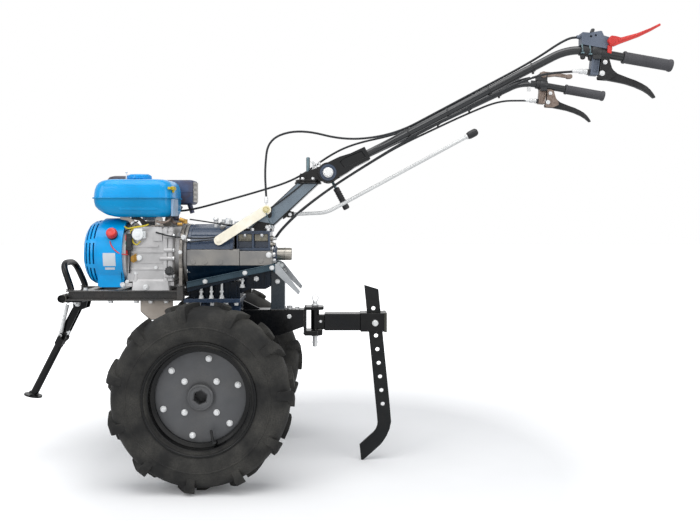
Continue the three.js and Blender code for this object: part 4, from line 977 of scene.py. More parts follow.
@dataclass
class Gearbox:
    """Gearbox barrel, sump, selector block, power take-off and side bars."""

    centre_z: float = 688.0
    radius: float = 99.0
    front: float = 79.7
    back: float = -195.0
    step: float = -70.0
    flank: float = 96.0
    band_low: float = 657.0
    band_high: float = 709.0
    windows: tuple[tuple[float, float], ...] = ((-181, -135), (-128, -82))
    bar_inside: float = 96.3
    bar_outside: float = 102.3
    shaft_z: float = 690.0
    stub_back: float = -195.6
    splines: int = 6
    spline_radius: float = 13.2

    def case(self) -> None:
        """The upper barrel, with its cast ribs, and the rear shelf."""
        top = [(self.flank, self.band_high), *arc((0, self.centre_z), self.radius, 14, 166, 30),
               (-self.flank, self.band_high)]
        shape = Shape().plate(top, self.step, self.front, Plane.FRONT)
        for angle in (42, 62, 90, 118, 138):
            turn = radians(angle)
            at = Vector((0, cos(turn), sin(turn))) * (self.radius - 0.5)
            middle = Vector((0, 0, self.centre_z))
            shape.rod(middle + at + X * (self.step + 2), middle + at + X * (self.front - 1), 3.4, sides=12)
        for x in (self.step + 6, self.front - 6):
            shape.plate(arc((0, self.centre_z), self.radius + 2.6, 12, 168, 30), x - 5, x + 5, Plane.FRONT)
        shape.block((self.step, -60, 700), (self.step + 30, 60, 779))
        shape.finish("gearbox_barrel", GEARBOX, bevel=1.2, smooth=35, replaces=["gearbox_case"])
        # The band is painted pale grey: a painted reflection of the floor on the dark gloss casting.
        band = [(self.flank + 0.6, self.band_low), (self.flank + 0.6, self.band_high - 2),
                (self.flank - 2, self.band_high)]
        loop = band + [(-y, z) for y, z in reversed(band)]
        shape = Shape().plate(loop, -90, self.front, Plane.FRONT)
        rear = [(y, min(z, 703)) for y, z in band]
        shape.plate(rear + [(-y, z) for y, z in reversed(rear)], self.back, -91.5, Plane.FRONT)
        shape.slice((self.front, 0, 592), (-0.24, 0, -0.97)).slice((self.back, 0, 660), (-0.24, 0, -0.97))
        shape.finish("gearbox_band_painted_reflection", GEARBOX_FACE_AND_REFLECTION, bevel=1.2)
        skirt = [(self.flank, self.band_low), (60, 560), (-60, 560), (-self.flank, self.band_low)]
        shape = Shape().plate(skirt, self.back + 0.5, self.front - 0.5, Plane.FRONT)
        shape.slice((self.front, 0, 592), (-0.24, 0, -0.97))
        shape.finish("gearbox_skirt", NAVY, bevel=1.5)

    def pads(self) -> None:
        """Bosses, plugs and bolts on the case's flanks."""
        shape = Shape()
        for sign in (1, -1):
            for x, z in ((58, 668), (20, 668), (-30, 668), (-160, 672), (-186, 691)):
                shape.rod((x, sign * 92, z), (x, sign * 98.6, z), 8.5, 7.6, 20)
        shape.rod((-30, 0, 782), (-30, 0, 796), 20, 17, 32).rod((-30, 40, 770), (-30, 46, 784), 11, 10, 24)
        shape.rod((-66, -30, 770), (-66, -30, 790), 12, 11, 24)
        shape.finish("gearbox_bosses", GEARBOX_FACE_AND_REFLECTION, bevel=0.8)
        bolts = Shape()
        for sign in (1, -1):
            bolts.bolt((-186, sign * 98.2, 691), Y * sign, 14, 7, 9.5)
        bolts.bolt((-30, 0, 796), Z, 19, 9, 14).bolt((-66, -30, 790), Z, 14, 8, 10).bolt((-30, 44, 783), Z, 13, 7)
        for y, z in ((34, 668), (-34, 668), (60, 690), (-60, 690)):
            bolts.bolt((self.back, y, z), -X, 13, 7, 9)
        for x in (-178, -110):
            for y in (-38, 60):
                bolts.bolt((x, y, 776), Z, 13, 7, 9)
        bolts.finish("gearbox_bolts", BRIGHT, bevel=0.4)
        plug = Shape().rod((-6, 30, 778), (-6, 34, 800), 9, 8, 20).ball((-6, 35, 806), 9, (1, 1, 0.8))
        plug.rod((-44, 12, 785), (-44, 12, 803), 14, 14, 24).rod((-44, 12, 803), (-44, 12, 810), 10, 9, 6)
        plug.finish("breather", BRIGHT, bevel=0.6)

    def selector(self) -> None:
        """The selector block with its two windows, rails and bolts."""
        low, high = (-187, -45, 703.3), (-78, 68, 768)
        shape = Shape().block(low, high)
        for x0, x1 in self.windows:
            shape.cut(Shape().block((x0, 46, 712), (x1, 80, 758)))
        shape.block((-192, -48, 764), (-74, 71, 768.2))
        shape.finish("selector_frame", GEARBOX, bevel=1.2, replaces=["selector_block"])
        inner = Shape()
        for x0, x1 in self.windows:
            inner.block((x0 + 1, 50, 735), (x1 - 1, 60, 757.5))
            inner.rod((x0 + 1, 57, 738), (x1 - 1, 57, 738), 4.5, sides=16)
        inner.finish("selector_rails", OCHRE, bevel=1.0)
        bolts = Shape()
        for x in (-160, -104):
            bolts.rod((x, 62, 764), (x, 62, 752), 5.5, sides=20).rod((x, 62, 752), (x, 62, 747), 7.2, 4.0, 20)
        for x, y in ((-183, 62), (-183, -40), (-131.5, 62), (-131.5, -40), (-84, 62), (-84, -40)):
            bolts.rod((x + 2, y, 768), (x + 2, y, 777), 6.0, sides=20)
        bolts.finish("selector_bolts", BRIGHT, bevel=0.5)
        ends = Shape()
        for z in (722, 742):
            for y in (-20, 20):
                ends.rod((-186.5, y, z), (-192, y, z), 9, 8.4, 24).rod((-191, y, z), (-200, y, z), 4.5, 4.5, 16)
        ends.finish("selector_ends", STEEL, bevel=0.5)

    def sump(self) -> None:
        """The lower case between the gearbox and the final drive."""
        shape = Shape()
        for sign in (1, -1):
            shape.plate([(78, 592 - 21.5), (78, 592), (-120, 641), (-120, 619)], sign * 60, sign * 95.8)
        shape.block((-88, -50, 548.3), (78, 50, 600))
        shape.plate([(-88, 560), (-88, 610), (-115, 641), (-186.7, 658), (-186.7, 584), (-170, 575), (-115, 575)],
                    -36, 36)
        for x in range(-76, 79, 22):
            shape.block((x - 2.5, -56, 549), (x + 2.5, 56, 596))
        for x in range(-170, -116, 18):
            shape.block((x - 2.5, -41, 578), (x + 2.5, 41, 640))
        shape.finish("sump_case", NAVY, bevel=1.0, replaces=["gearbox_sump"])
        shape = Shape()
        for sign in (1, -1):
            for x, top in ((36, 603), (3, 606), (-31, 612), (-98, 626)):
                foot = 548.5 if x > -90 else 584
                shape.rod((x, sign * 76, foot), (x, sign * 76, top), 4.2, sides=16)
                shape.bolt((x, sign * 76, foot), Z, 13, 9, 9.5)
                shape.bolt((x, sign * 76, foot + 20), Z, 12, 6, 0)
        shape.rod((-140, 36, 610), (-140, 44, 610), 9, 9, 6).rod((-140, 40, 610), (-140, 46, 610), 5, 5, 16)
        shape.finish("case_studs", BRIGHT, bevel=0.5)

    def side_bars(self) -> None:
        """The plated bars along the case that end in pointed tails."""
        outline = [(78, 585), (78, 605), (-200, 663), (-206, 662.8), (-206, 634), (-204, 636), (-196, 641)]
        tail = [(-206.2, 662.7), (-210, 662.5), (-222, 656), (-287, 574), (-282, 563), (-212, 628), (-206.2, 634)]
        for sign in (1, -1):
            side = Side(sign)
            shape = Shape().plate(outline, sign * self.bar_inside, sign * self.bar_outside)
            shape.plate([(78, 602), (78, 605), (-198, 662.6), (-198, 659.6)], sign * self.bar_inside, sign * 110)
            shape.finish(f"side_bar_plate_{side.word}", SIDE_BAR, bevel=1.0,
                         replaces=[f"side_bar_{side.word}"])
            Shape().plate(tail, sign * self.bar_inside, sign * self.bar_outside).finish(
                f"side_bar_tail_{side.word}", STAMPED, bevel=1.0)
            bolts = Shape()
            for x, z in ((19, 606), (-109, 634), (-196, 650)):
                bolts.bolt((x, sign * self.bar_outside, z), Y * sign, 12, 6, 8, spin=x)
            bolts.finish(f"side_bar_bolts_{side.word}", BRIGHT, bevel=0.4)
        shape = Shape().rod((-206, -96, 652), (-206, 96, 652), 7, sides=20)
        shape.rod((-216, -60, 646), (-216, 60, 646), 9, sides=20)
        shape.finish("bar_spreader", ZINC, bevel=0.5)

    def bell(self) -> None:
        """The bell flange that joins the engine, with its bolts."""
        shape = Shape().lathe(
            [(60, 0), (101, 0), (103, 1.5), (103, 7), (98, 9), (98, 12), (60, 12)], (80, 0, self.centre_z), X, 72)
        shape.finish("bell_back", GEARBOX_FACE_AND_REFLECTION, bevel=0.6, replaces=["bell_flange"])
        shape = Shape().lathe(
            [(60, 0), (105, 0), (106.5, 1.5), (106.5, 9.5), (105, 11), (96, 12.4), (60, 12.4)],
            (92.6, 0, self.centre_z), X, 72)
        for sign in (1, -1):
            shape.block((93, sign * 84, 592), (104, sign * 99, 690))
        shape.block((93, -96, 590), (104, 96, 612))
        shape.finish("bell_front", BELL, bevel=0.8)
        bolts = Shape()
        for angle in (30, 90, 150, 210, 330):
            turn = radians(angle)
            at = Vector((79.5, 95 * cos(turn), self.centre_z + 95 * sin(turn)))
            bolts.bolt(at, -X, 14, 9, 9.5)
        for sign in (1, -1):
            bolts.bolt((88, sign * 102.5, 748), Y * sign, 13, 6, 8.5)
            bolts.bolt((98, sign * 105.5, 700), Y * sign, 12, 5, 0)
        bolts.finish("bell_bolts", BRIGHT, bevel=0.4)

    def take_off(self) -> None:
        """The power take-off stub with its splined bore, and its seal."""
        shape = Shape().lathe(
            [(14, 0), (21.25, 0), (21.25, 55), (20.2, 59.2), (14.5, 59.2), (13, 57.5), (13, 20)],
            (self.stub_back, 0, self.shaft_z), -X, 56)
        for i in range(self.splines):
            turn = radians(i * 360 / self.splines)
            at = Vector((-252, self.spline_radius * cos(turn), self.shaft_z + self.spline_radius * sin(turn)))
            shape.rod(at, at + X * 36, 1.8, sides=10)
        shape.lathe([(21.2, 34), (22.0, 35), (22.0, 38), (21.2, 39)], (self.stub_back, 0, self.shaft_z), -X, 56)
        shape.finish("pto_stub", STEEL, bevel=0.3, smooth=28, replaces=["pto_shaft"])
        shape = Shape().lathe([(12, 0), (33, 0), (34, 2), (33, 7), (26, 9), (24, 12), (12, 12)],
                              (-194.6, 0, self.shaft_z), -X, 48)
        shape.rod((-195, 0, self.shaft_z), (-233, 0, self.shaft_z), 12.6, sides=24)
        shape.finish("pto_seal", GEARBOX, bevel=0.5)

    def build(self) -> None:
        """Builds the gearbox and what is bolted to it."""
        self.case()
        self.pads()
        self.selector()
        self.sump()
        self.side_bars()
        self.bell()
        self.take_off()


@dataclass
class FinalDrive:
    """Lower case that carries the two axle shafts."""

    axle: float = 280.0
    cover_bolts: int = 6
    bolt_circle: float = 58.0

    def build(self) -> None:
        """Builds the case with its flange plate, ribs and barrels."""
        shape = Shape().block((-91, -84, 535), (92, 84, 547.8))
        web = [(-88, 536), (88, 536), (88, 430), (70, 400), *arc((0, self.axle), 78, 40, -220, 26), (-70, 400),
               (-88, 430)]
        shape.plate(web, -54, 54)
        for x in (-60, -30, 0, 30, 60):
            shape.block((x - 3, -62, 420), (x + 3, 62, 536))
        for sign in (1, -1):
            shape.lathe([(40, 50), (68, 50), (68, 66), (66, 69), (52, 70), (48, 76), (46, 80), (46, 126), (43, 129.5),
                         (40, 129.5)],
                        (0, 0, self.axle), Y * sign, 56)
            shape.lathe([(20, 124), (41, 124), (40, 131), (26, 132), (20, 130)], (0, 0, self.axle), Y * sign, 48)
        shape.finish("final_drive", GEARBOX, bevel=1.2, replaces=["final_drive_case"])
        bolts = Shape()
        for sign in (1, -1):
            for i in range(self.cover_bolts):
                turn = radians(i * 360 / self.cover_bolts + 30)
                at = (self.bolt_circle * cos(turn), sign * 69.4, self.axle + self.bolt_circle * sin(turn))
                bolts.bolt(at, Y * sign, 13, 7, 0, spin=i)
            for x in (-78, -45, 0, 45, 78):
                bolts.bolt((x, sign * 73, 535), -Z, 13, 8, 9)
        bolts.finish("drive_bolts", BRIGHT, bevel=0.4)


# -------------------------------------------------------------------- engine


@dataclass
class EngineBlock:
    """Aluminium crankcase, cylinder, head and small electrics."""

    half: float = 86.0
    cap_ribs: int = 12
    fins: int = 11
    fin_pitch: float = 8.2
    first_fin: float = -88.0

    def crankcase(self) -> None:
        """The crankcase with its ledges, side cover, foot and bosses."""
        half = self.half
        rows = ((604, 0), (640, 0), (642.5, 2), (647, 2), (649, 0), (696, 0), (698, 3), (702, 3), (704, 0))
        body = [(z, 152, 276, half + out, 6) for z, out in rows]
        shape = Shape().stack([*body, (760, 152, 276, half - 2, 8), (782, 158, 272, half - 12, 14)])
        shape.stack([(606, 124, 150, half, 8), (770, 124, 150, half - 2, 10), (780, 128, 150, half - 12, 10)])
        shape.stack([(608, 148, 154, half + 3.2, 8), (772, 148, 154, half + 1.2, 10), (780, 148, 154, half - 9, 10)])
        shape.stack([(576, 137, 258, 92, 4), (606, 140, 256, 91, 4), (612, 146, 252, 87, 4)])
        shape.block((258, -88, 588), (281, 88, 600)).block((124, -80, 590), (150, 80, 604))
        studs = ((86, 706, 154, 127, 7.4), (87, 679, 168, 126, 6.4), (85, 752, 152, 128, 8), (85, 622, 152, 128, 8))
        for sign in (1, -1):
            for x in (150, 246):
                shape.rod((x, sign * 84, 606), (x, sign * 84, 628), 8, 6, 20)
            for y, z, start, end, radius in studs:
                shape.rod((start, sign * y, z), (end, sign * y, z), radius, sides=20)
            shape.block((172, sign * 84, 716), (262, sign * 89.5, 722))
            shape.block((160, sign * 84, 664), (240, sign * 88.2, 667))
            shape.block((160, sign * 84, 736), (190, sign * 90, 762))
        shape.rod((275, 0, 690), (286, 0, 690), 105, sides=64).rod((105.3, 0, 690), (140, 0, 690), 72, sides=48)
        shape.finish("crankcase_casting", ALUMINIUM, bevel=1.1, smooth=36, replaces=["crankcase"])
        bolts = Shape()
        for sign in (1, -1):
            bolts.bolt((213, sign * 92, 587), Y * sign, 14, 6, 9.5)
            for x in (150, 246):
                bolts.bolt((x, sign * 84, 628), Z, 12, 6)
            for z, y in ((706, 86), (679, 87), (752, 85), (622, 85)):
                bolts.bolt((126, sign * y, z), -X, 11, 6, 0)
            bolts.bolt((274, sign * 76, 604), Y * sign, 12, 14)
        bolts.rod((180, 85, 650), (180, 93, 650), 5.5, sides=20)
        bolts.finish("crankcase_bolts", BRIGHT, bevel=0.4)

    def filler(self) -> None:
        """The two oil filler necks with black caps."""
        necks, caps = Shape(), Shape()
        for sign in (1, -1):
            way = Vector((-0.25, sign * 0.86, 0.32)).normalized()
            foot = Vector((140, sign * 78, 634))
            necks.rod(foot, foot + way * 12, 16, 15, 28)
            seat = foot + way * 11
            caps.rod(seat, seat + way * 9, 14.5, 13.4, 28)
            caps.rod(seat + way * 8.5, seat + way * 11, 11.5, 10.2, 28)
            across = way.cross(X).normalized()
            for i in range(self.cap_ribs):
                rib = Matrix.Rotation(i * TURN / self.cap_ribs, 4, way) @ (across * 14.2)
                caps.rod(seat + rib, seat + rib + way * 8, 1.5, sides=8)
            caps.rod(seat + way * 11 - across * 11, seat + way * 11 + across * 11, 2.6, sides=12)
        necks.finish("filler_necks", ALUMINIUM, bevel=0.6)
        caps.finish("filler_caps", PLASTIC, bevel=0.6)

    def electrics(self) -> None:
        """The oil sensor unit, the coil module and their wires."""
        half = self.half
        shape = Shape().lathe([(0, 0), (18.5, 0), (19, 2), (19, 15), (17, 18), (8, 18.6), (7, 20), (0, 20)],
                              (236, half + 1, 757), Y, 40, closed=False)
        shape.block((222, half - 4, 764), (250, half + 12, 776)).block((213, half, 744), (224, half + 10, 768))
        shape.finish("oil_unit", WHITE_PLASTIC, bevel=1.2)
        shape = Shape().block((255, half, 706), (274, half + 15, 760))
        shape.block((257, half + 14, 716), (272, half + 18, 748))
        shape.rod((265, half + 8, 706), (264, half + 8, 690), 5, sides=16)
        shape.finish("coil_module", PLASTIC, bevel=1.2)
        bits = Shape().block((272, half + 4, 738), (277, half + 13, 756))
        bits.block((270, half + 5, 696), (276, half + 12, 708))
        bits.finish("red_plugs", RED, bevel=0.6)
        Shape().block((271, half + 4, 716), (276.5, half + 13, 734)).finish("green_plug", GREEN, bevel=0.6)
        brass = Shape().rod((252, half, 678), (252, half + 9, 678), 12.5, 12.5, 6)
        brass.rod((252, half + 8, 678), (252, half + 15, 678), 6, sides=20)
        brass.block((243, half, 687), (250, half + 4, 694))
        brass.finish("oil_switch", BRASS, bevel=0.6)
        Shape().lathe([(0, 0), (9.5, 0), (9.5, 6), (7, 8), (0, 8)], (235, half, 681), Y, 28, closed=False).finish(
            "case_plug", WHITE_PLASTIC, bevel=0.6)
        wires = Shape().wire([(262, half + 8, 692), (263, half + 8, 660), (266, half + 4, 632)], 20, 8, 2.4, 8)
        wires.wire([(286, 78, 766), (262, half + 6, 776), (240, half + 6, 781), (222, half + 9, 783), (196, 84, 788)],
                   12, 6, 2.2, 8)
        wires.wire([(256, half + 10, 758), (262, half + 6, 774), (258, half, 790), (240, 80, 800)], 10, 6, 2.4, 8)
        wires.finish("engine_wires", CABLE)
        yellow = Shape().wire([(284, 78, 782), (270, half + 8, 775), (250, half + 12, 780), (214, half + 9, 785),
                               (205, half, 789)], 12, 6, 2.6, 8)
        yellow.wire([(256, half + 6, 745), (252, half + 12, 730), (240, half + 10, 722), (230, half + 6, 735)], 12, 6,
                    2.2, 8)
        yellow.wire([(258, half + 5, 754), (262, half + 9, 768), (250, half + 9, 776)], 8, 6, 2.2, 8)
        yellow.finish("yellow_wires", YELLOW)

    def cylinder(self) -> None:
        """The finned cylinder and head on the right side, with the valve cover."""
        shape = Shape().block((146, -176, 708), (256, -84, 792))
        for i in range(self.fins):
            y = self.first_fin - i * self.fin_pitch
            shape.plate(rounded((134, 700), (268, 800), 12), y - 1.8, y + 1.8)
        shape.plate(rounded((142, 706), (260, 794), 10), -184, -176)
        shape.finish("cylinder_fins", ALUMINIUM, bevel=0.5, replaces=["cylinder_block"])
        shape = Shape().plate(rounded((150, 712), (252, 788), 14), -189.6, -184)
        shape.finish("valve_cover", STAMPED, bevel=2.0)
        bolts = Shape()
        for x in (158, 244):
            for z in (720, 780):
                bolts.bolt((x, -189.4, z), -Y, 11, 4)
        bolts.finish("valve_cover_bolts", BRIGHT, bevel=0.4)

    def carburettor(self) -> None:
        """The carburettor and its choke lever."""
        shape = Shape().block((240, -184, 802), (282, -142, 857)).rod((237, -163, 826), (286, -163, 826), 17, sides=28)
        shape.rod((252, -163, 800.4), (252, -163, 812), 20, 20, 28)
        shape.finish("carburettor_body", ALUMINIUM, bevel=0.8)
        shape = Shape().rod((236.4, -150, 835), (243, -150, 835), 6, sides=16)
        shape.plate([(248, 836), (256, 856), (252, 858), (242, 838)], -141.4, -139)
        shape.plate([(232, 822), (240, 842), (236, 846), (228, 826)], -149, -146)
        shape.finish("carburettor_levers", BRIGHT, bevel=0.4)

    def build(self) -> None:
        """Builds the block and everything on it."""
        self.crankcase()
        self.filler()
        self.electrics()
        self.cylinder()
        self.carburettor()


@dataclass
class FanShroud:
    """Blue fan housing with the slotted starter dome and the stop knob."""

    centre_z: float = 696.0
    radius: float = 114.0
    back: float = 285.0
    front: float = 364.0
    slot_groups: int = 8
    inner_slots: int = 12
    knob_ribs: int = 16

    def housing(self) -> None:
        """The round housing that stands on a flat foot."""
        outline = [(88, 586), (88, 606), *arc((0, self.centre_z), self.radius, -38, 218, 56), (-88, 606), (-88, 586)]
        middle = self.centre_z
        small = [(y * 0.965, middle + (z - middle) * 0.965) for y, z in outline]
        shape = Shape().plate(outline, self.back + 4, self.front, Plane.FRONT)
        shape.plate(small, self.front - 2, self.front + 6, Plane.FRONT)
        shape.plate([(y * 1.012, middle + (z - middle) * 1.008) for y, z in outline], self.back, self.back + 5,
                    Plane.FRONT)
        inner = Shape().rod((self.back - 3, 0, self.centre_z), (self.front - 22, 0, self.centre_z), 104, sides=64)
        shape.cut(inner)
        shape.finish("shroud_housing", BLUE, bevel=2.2, smooth=30, replaces=["fan_shroud"])

    def dome(self) -> None:
        """The recoil starter dome with groups of slots round it."""
        outer = [(359, 100), (366, 107.5), (384, 107), (397, 103.5), (408, 96), (416, 84), (420.4, 66), (422.4, 44),
                 (423, 20), (423, 0)]
        inner = [(419, 0), (418, 44), (411, 80), (403, 90), (392, 98), (359, 97)]
        loop = [(r, x) for x, r in [*outer, *inner]]
        shape = Shape().lathe(loop, (0, 0, self.centre_z), X, 96, closed=True)
        knives = Shape()
        middle = Matrix.Translation((0, 0, self.centre_z))
        for group in range(self.slot_groups):
            for x, wide in ((378, 5.0), (390.5, 5.0), (403, 4.8)):
                knife = Shape().block((x - wide / 2, 60, -34), (x + wide / 2, 130, 34))
                knives.add(knife, middle @ Matrix.Rotation(group * TURN / self.slot_groups, 4, "X"))
        for group in range(self.inner_slots):
            knife = Shape().block((410, 34, -4.5), (440, 62, 4.5))
            knives.add(knife, middle @ Matrix.Rotation(group * TURN / self.inner_slots, 4, "X"))
        shape.cut(knives)
        shape.finish("starter_dome", BLUE, bevel=0.7, smooth=30)
        # A dark cup just inside the dome: painted shade seen through the slots.
        dark = Shape().lathe([(0, 361), (90, 361), (90, 398), (72, 410), (0, 415)], (0, 0, self.centre_z), X, 48,
                             closed=False)
        dark.finish("starter_shade_cup", STARTER_SHADE, bevel=0.5)
        ribs = Shape()
        for group in range(self.slot_groups):
            rib = Shape().block((383, 96, -30), (385.4, 100.5, 30))
            rib.block((396, 92, -30), (398, 96.5, 30))
            ribs.add(rib, middle @ Matrix.Rotation(group * TURN / self.slot_groups, 4, "X"))
        ribs.finish("starter_ribs", RUSTY)

    def details(self) -> None:
        """The starter handle, stop knob, blank plate, wire and bolts."""
        handle = Shape().plate(rounded((386, 742), (402, 792), 7), -121, -107)
        handle.rod((394, -84, 767), (394, -112, 767), 8, sides=20)
        handle.finish("starter_handle", PLASTIC, bevel=2.5)
        out = Vector((0, cos(radians(31)), sin(radians(31))))
        seat = Vector((318, 0, self.centre_z)) + out * (self.radius - 0.5)
        base = Shape().rod(seat, seat + out * 6, 17.5, 16.5, 36)
        base.finish("knob_base", PLASTIC, bevel=0.8)
        knob = Shape().lathe([(0, 5), (15.5, 5), (16.4, 7), (16.4, 20), (14.4, 23.4), (9, 24.2), (7, 23), (0, 23)],
                             seat, out, 40, closed=False)
        for i in range(self.knob_ribs):
            turn = Matrix.Rotation(i * TURN / self.knob_ribs, 4, out)
            rim = turn @ (out.cross(X).normalized() * 16.4)
            knob.rod(seat + rim + out * 7.5, seat + rim + out * 20, 1.3, sides=8)
        knob.finish("stop_knob", RED, bevel=0.8, replaces=["stop_switch"])
        wire = Shape().wire([(325, 100, 742), (322, 112, 728), (306, 116, 706), (288, 112, 694), (268, 100, 692)], 14,
                            6, 1.9, 10)
        wire.finish("stop_wire", RED)
        plate = Shape()
        for x0, x1, low, high in ((305, 345, -20.5, 1.0), (309, 340, -27, -23)):
            loop = [*arc((0, self.centre_z), self.radius + 0.9, low, high, 10),
                    *reversed(arc((0, self.centre_z), self.radius - 0.4, low, high, 10))]
            plate.plate(loop, x0, x1, Plane.FRONT)
        plate.finish("shroud_plates", PLATE)
        bolts = Shape()
        for sign in (1, -1):
            bolts.bolt((288, sign * 88, 594), Y * sign, 12, 6, 8.5)
        for angle in (60, 150, 210, 330):
            turn = radians(angle)
            bolts.bolt((self.front + 5.5, 100 * cos(turn), self.centre_z + 100 * sin(turn)), X, 11, 5, 7)
        bolts.finish("shroud_bolts", BRIGHT, bevel=0.4)

    def build(self) -> None:
        """Builds the housing, the dome and the details."""
        self.housing()
        self.dome()
        self.details()


@dataclass
class FuelTank:
    """Two pressed tank halves with a seam flange, cap and brackets."""

    back: float = 130.0
    front: float = 389.0
    low: float = 813.0
    high: float = 938.0
    seam: float = 875.5
    half: float = 100.0
    cap_x: float = 256.0
    cap_ribs: int = 30

    def slices(self, base: float, rows: Sequence[Sequence[float]]) -> Shape:
        """Stacks slices that follow the tank's own outline.

        Args:
            base: Height that the rows are measured from.
            rows: Rise, distance inside the back, front and sides, and corner radius of each slice.

        Returns:
            The stacked body.
        """
        return Shape().stack([
            (base + rise, self.back + rear, self.front - ahead, self.half - side, corner)
            for rise, rear, ahead, side, corner in rows], 8)

    def shells(self) -> None:
        """The upper and lower halves and the flange between them."""
        # The lower half, the flange and the swage take the darker blue as painted shade under the lit upper half.
        self.slices(self.low, [
            (0, 22, 78, 24, 26), (2, 14, 66, 16, 30), (7, 6, 46, 9, 32), (14, 2, 32, 5, 34), (24, 0.5, 16, 2.5, 36),
            (36, 0, 5, 1, 38), (50, 0, 1, 0, 40), (self.seam - self.low, 0, 0, 0, 40),
        ]).finish("tank_lower", BLUE_SHADED, smooth=40, replaces=["fuel_tank"])
        self.slices(self.seam, [
            (0, 0, 0, 0, 40), (14, 0, 1, 0.4, 40), (28, 1, 3, 1.6, 40), (40, 3.5, 7, 4, 40), (49, 8, 13, 8, 38),
            (55.5, 15, 22, 14, 36), (59.5, 24, 33, 22, 33), (61.7, 36, 46, 32, 28), (62.5, 52, 62, 46, 22),
        ]).finish("tank_upper", BLUE, smooth=40)
        self.slices(self.seam, [
            (-2.2, -3.5, -3.5, -3.5, 42), (-1.6, -4, -4, -4, 42), (1.4, -4, -4, -4, 42), (2, -3.5, -3.5, -3.5, 42),
        ]).finish("tank_flange", BLUE_SHADED, smooth=50)
        swage = rounded((self.back + 44, self.low + 22), (self.front - 92, self.low + 30), 3.9)
        press = Shape().plate(swage, self.half - 4.5, self.half - 1.2)
        press.finish("tank_swage", BLUE_SHADED, bevel=1.2)
        nub = Shape().rod((300, 0, self.high), (300, 0, self.high + 26), 3, 2, 12)
        nub.ball((300, 0, self.high + 26), 3.6).finish("tank_nub", BRIGHT)

    def cap(self) -> None:
        """The ribbed filler cap with its grip bar, and its neck."""
        loop = [(0, 16.4), (9, 16.4), (10, 15.4), (12, 15.4), (13, 16.6), (31, 16.6), (36.5, 14.6), (38.6, 11),
                (38.8, 1), (37, 0), (0, 0)]
        shape = Shape().lathe(loop, (self.cap_x, 0, self.high + 1.6), Z, 56, closed=False)
        for i in range(self.cap_ribs):
            turn = i * TURN / self.cap_ribs
            at = Vector((self.cap_x + 38.4 * cos(turn), 38.4 * sin(turn), self.high + 3))
            shape.rod(at, at + Z * 10.5, 2.1, 1.5, 8)
        shape.block((self.cap_x - 30, -3.5, self.high + 16.5), (self.cap_x + 30, 3.5, self.high + 19.5))
        shape.finish("cap_body", BLUE, bevel=0.5, replaces=["fuel_cap"])
        neck = Shape().lathe([(24, -6), (30, -6), (30, 1.5), (24, 1.5)], (self.cap_x, 0, self.high), Z, 40)
        neck.finish("cap_neck", BRIGHT, bevel=0.4)

    def brackets(self) -> None:
        """The tank's brackets with their bolts, the tag, a painted highlight strip at the tank's rear corner and the
        fuel hose.
        """
        shape = Shape()
        for sign in (1, -1):
            near, far = sign * 66, sign * 72
            shape.plate([(262, 782.3), (234, 782.3), (240, 790), (272, 813.5), (290, 816), (302, 813.5), (300, 806),
                         (274, 801)], near, far)
            rear = [(174.5 - 11.5 * cos(radians(a)), 806 + 11 * sin(radians(a))) for a in range(20, 170, 25)]
            shape.plate([(187, 782.3), (161, 782.3), (163, 806), *rear, (186, 806)], near, far)
            shape.block((162, sign * 48, 782.3), (262, sign * 72, 786.3))
        shape.finish("bracket_plates", BEIGE, bevel=1.0, replaces=["tank_brackets"])
        bolts = Shape()
        for sign in (1, -1):
            bolts.bolt((174.5, sign * 72, 796), Y * sign, 12, 6, 8)
            bolts.bolt((258, sign * 72, 791), Y * sign, 12, 6, 8)
        bolts.finish("bracket_bolts", BRIGHT, bevel=0.4)
        clip = Shape().block((124, 44, 901), (134, 80, 913)).block((125, 62, 893), (131, 74, 903))
        clip.block((132, 76, 903), (142, 92, 911))
        clip.finish("tag", YELLOW, bevel=1.5)
        # A pale strip just behind the tank's rear corner: painted highlight of that rounded corner.
        strip = Shape().block((125.4, 6, 816), (131, 62, 872)).block((126.6, 58, 816), (134, 78, 872))
        strip.finish("tank_corner_highlight", TANK_CORNER_HIGHLIGHT, bevel=1.2)
        hose = Shape().wire([(140, 60, 813), (140, 74, 802), (158, 84, 793), (180, 82, 800)], 12, 6, 4.2, 12)
        hose.wire([(142, 30, 811), (134, 60, 798), (118, 70, 792)], 12, 6, 4.6, 12)
        hose.finish("fuel_hose", RUSTY)
        elbow = Shape().rod((92, 60, 800), (110, 60, 806), 7, sides=20).rod((91, 60, 792), (91, 60, 806), 8.4, 8.4, 6)
        elbow.rod((96, 80, 790), (112, 80, 790), 5.5, sides=16)
        elbow.finish("fuel_elbow", BRASS, bevel=0.5)

    def build(self) -> None:
        """Builds the tank with its cap and brackets."""
        self.shells()
        self.cap()
        self.brackets()


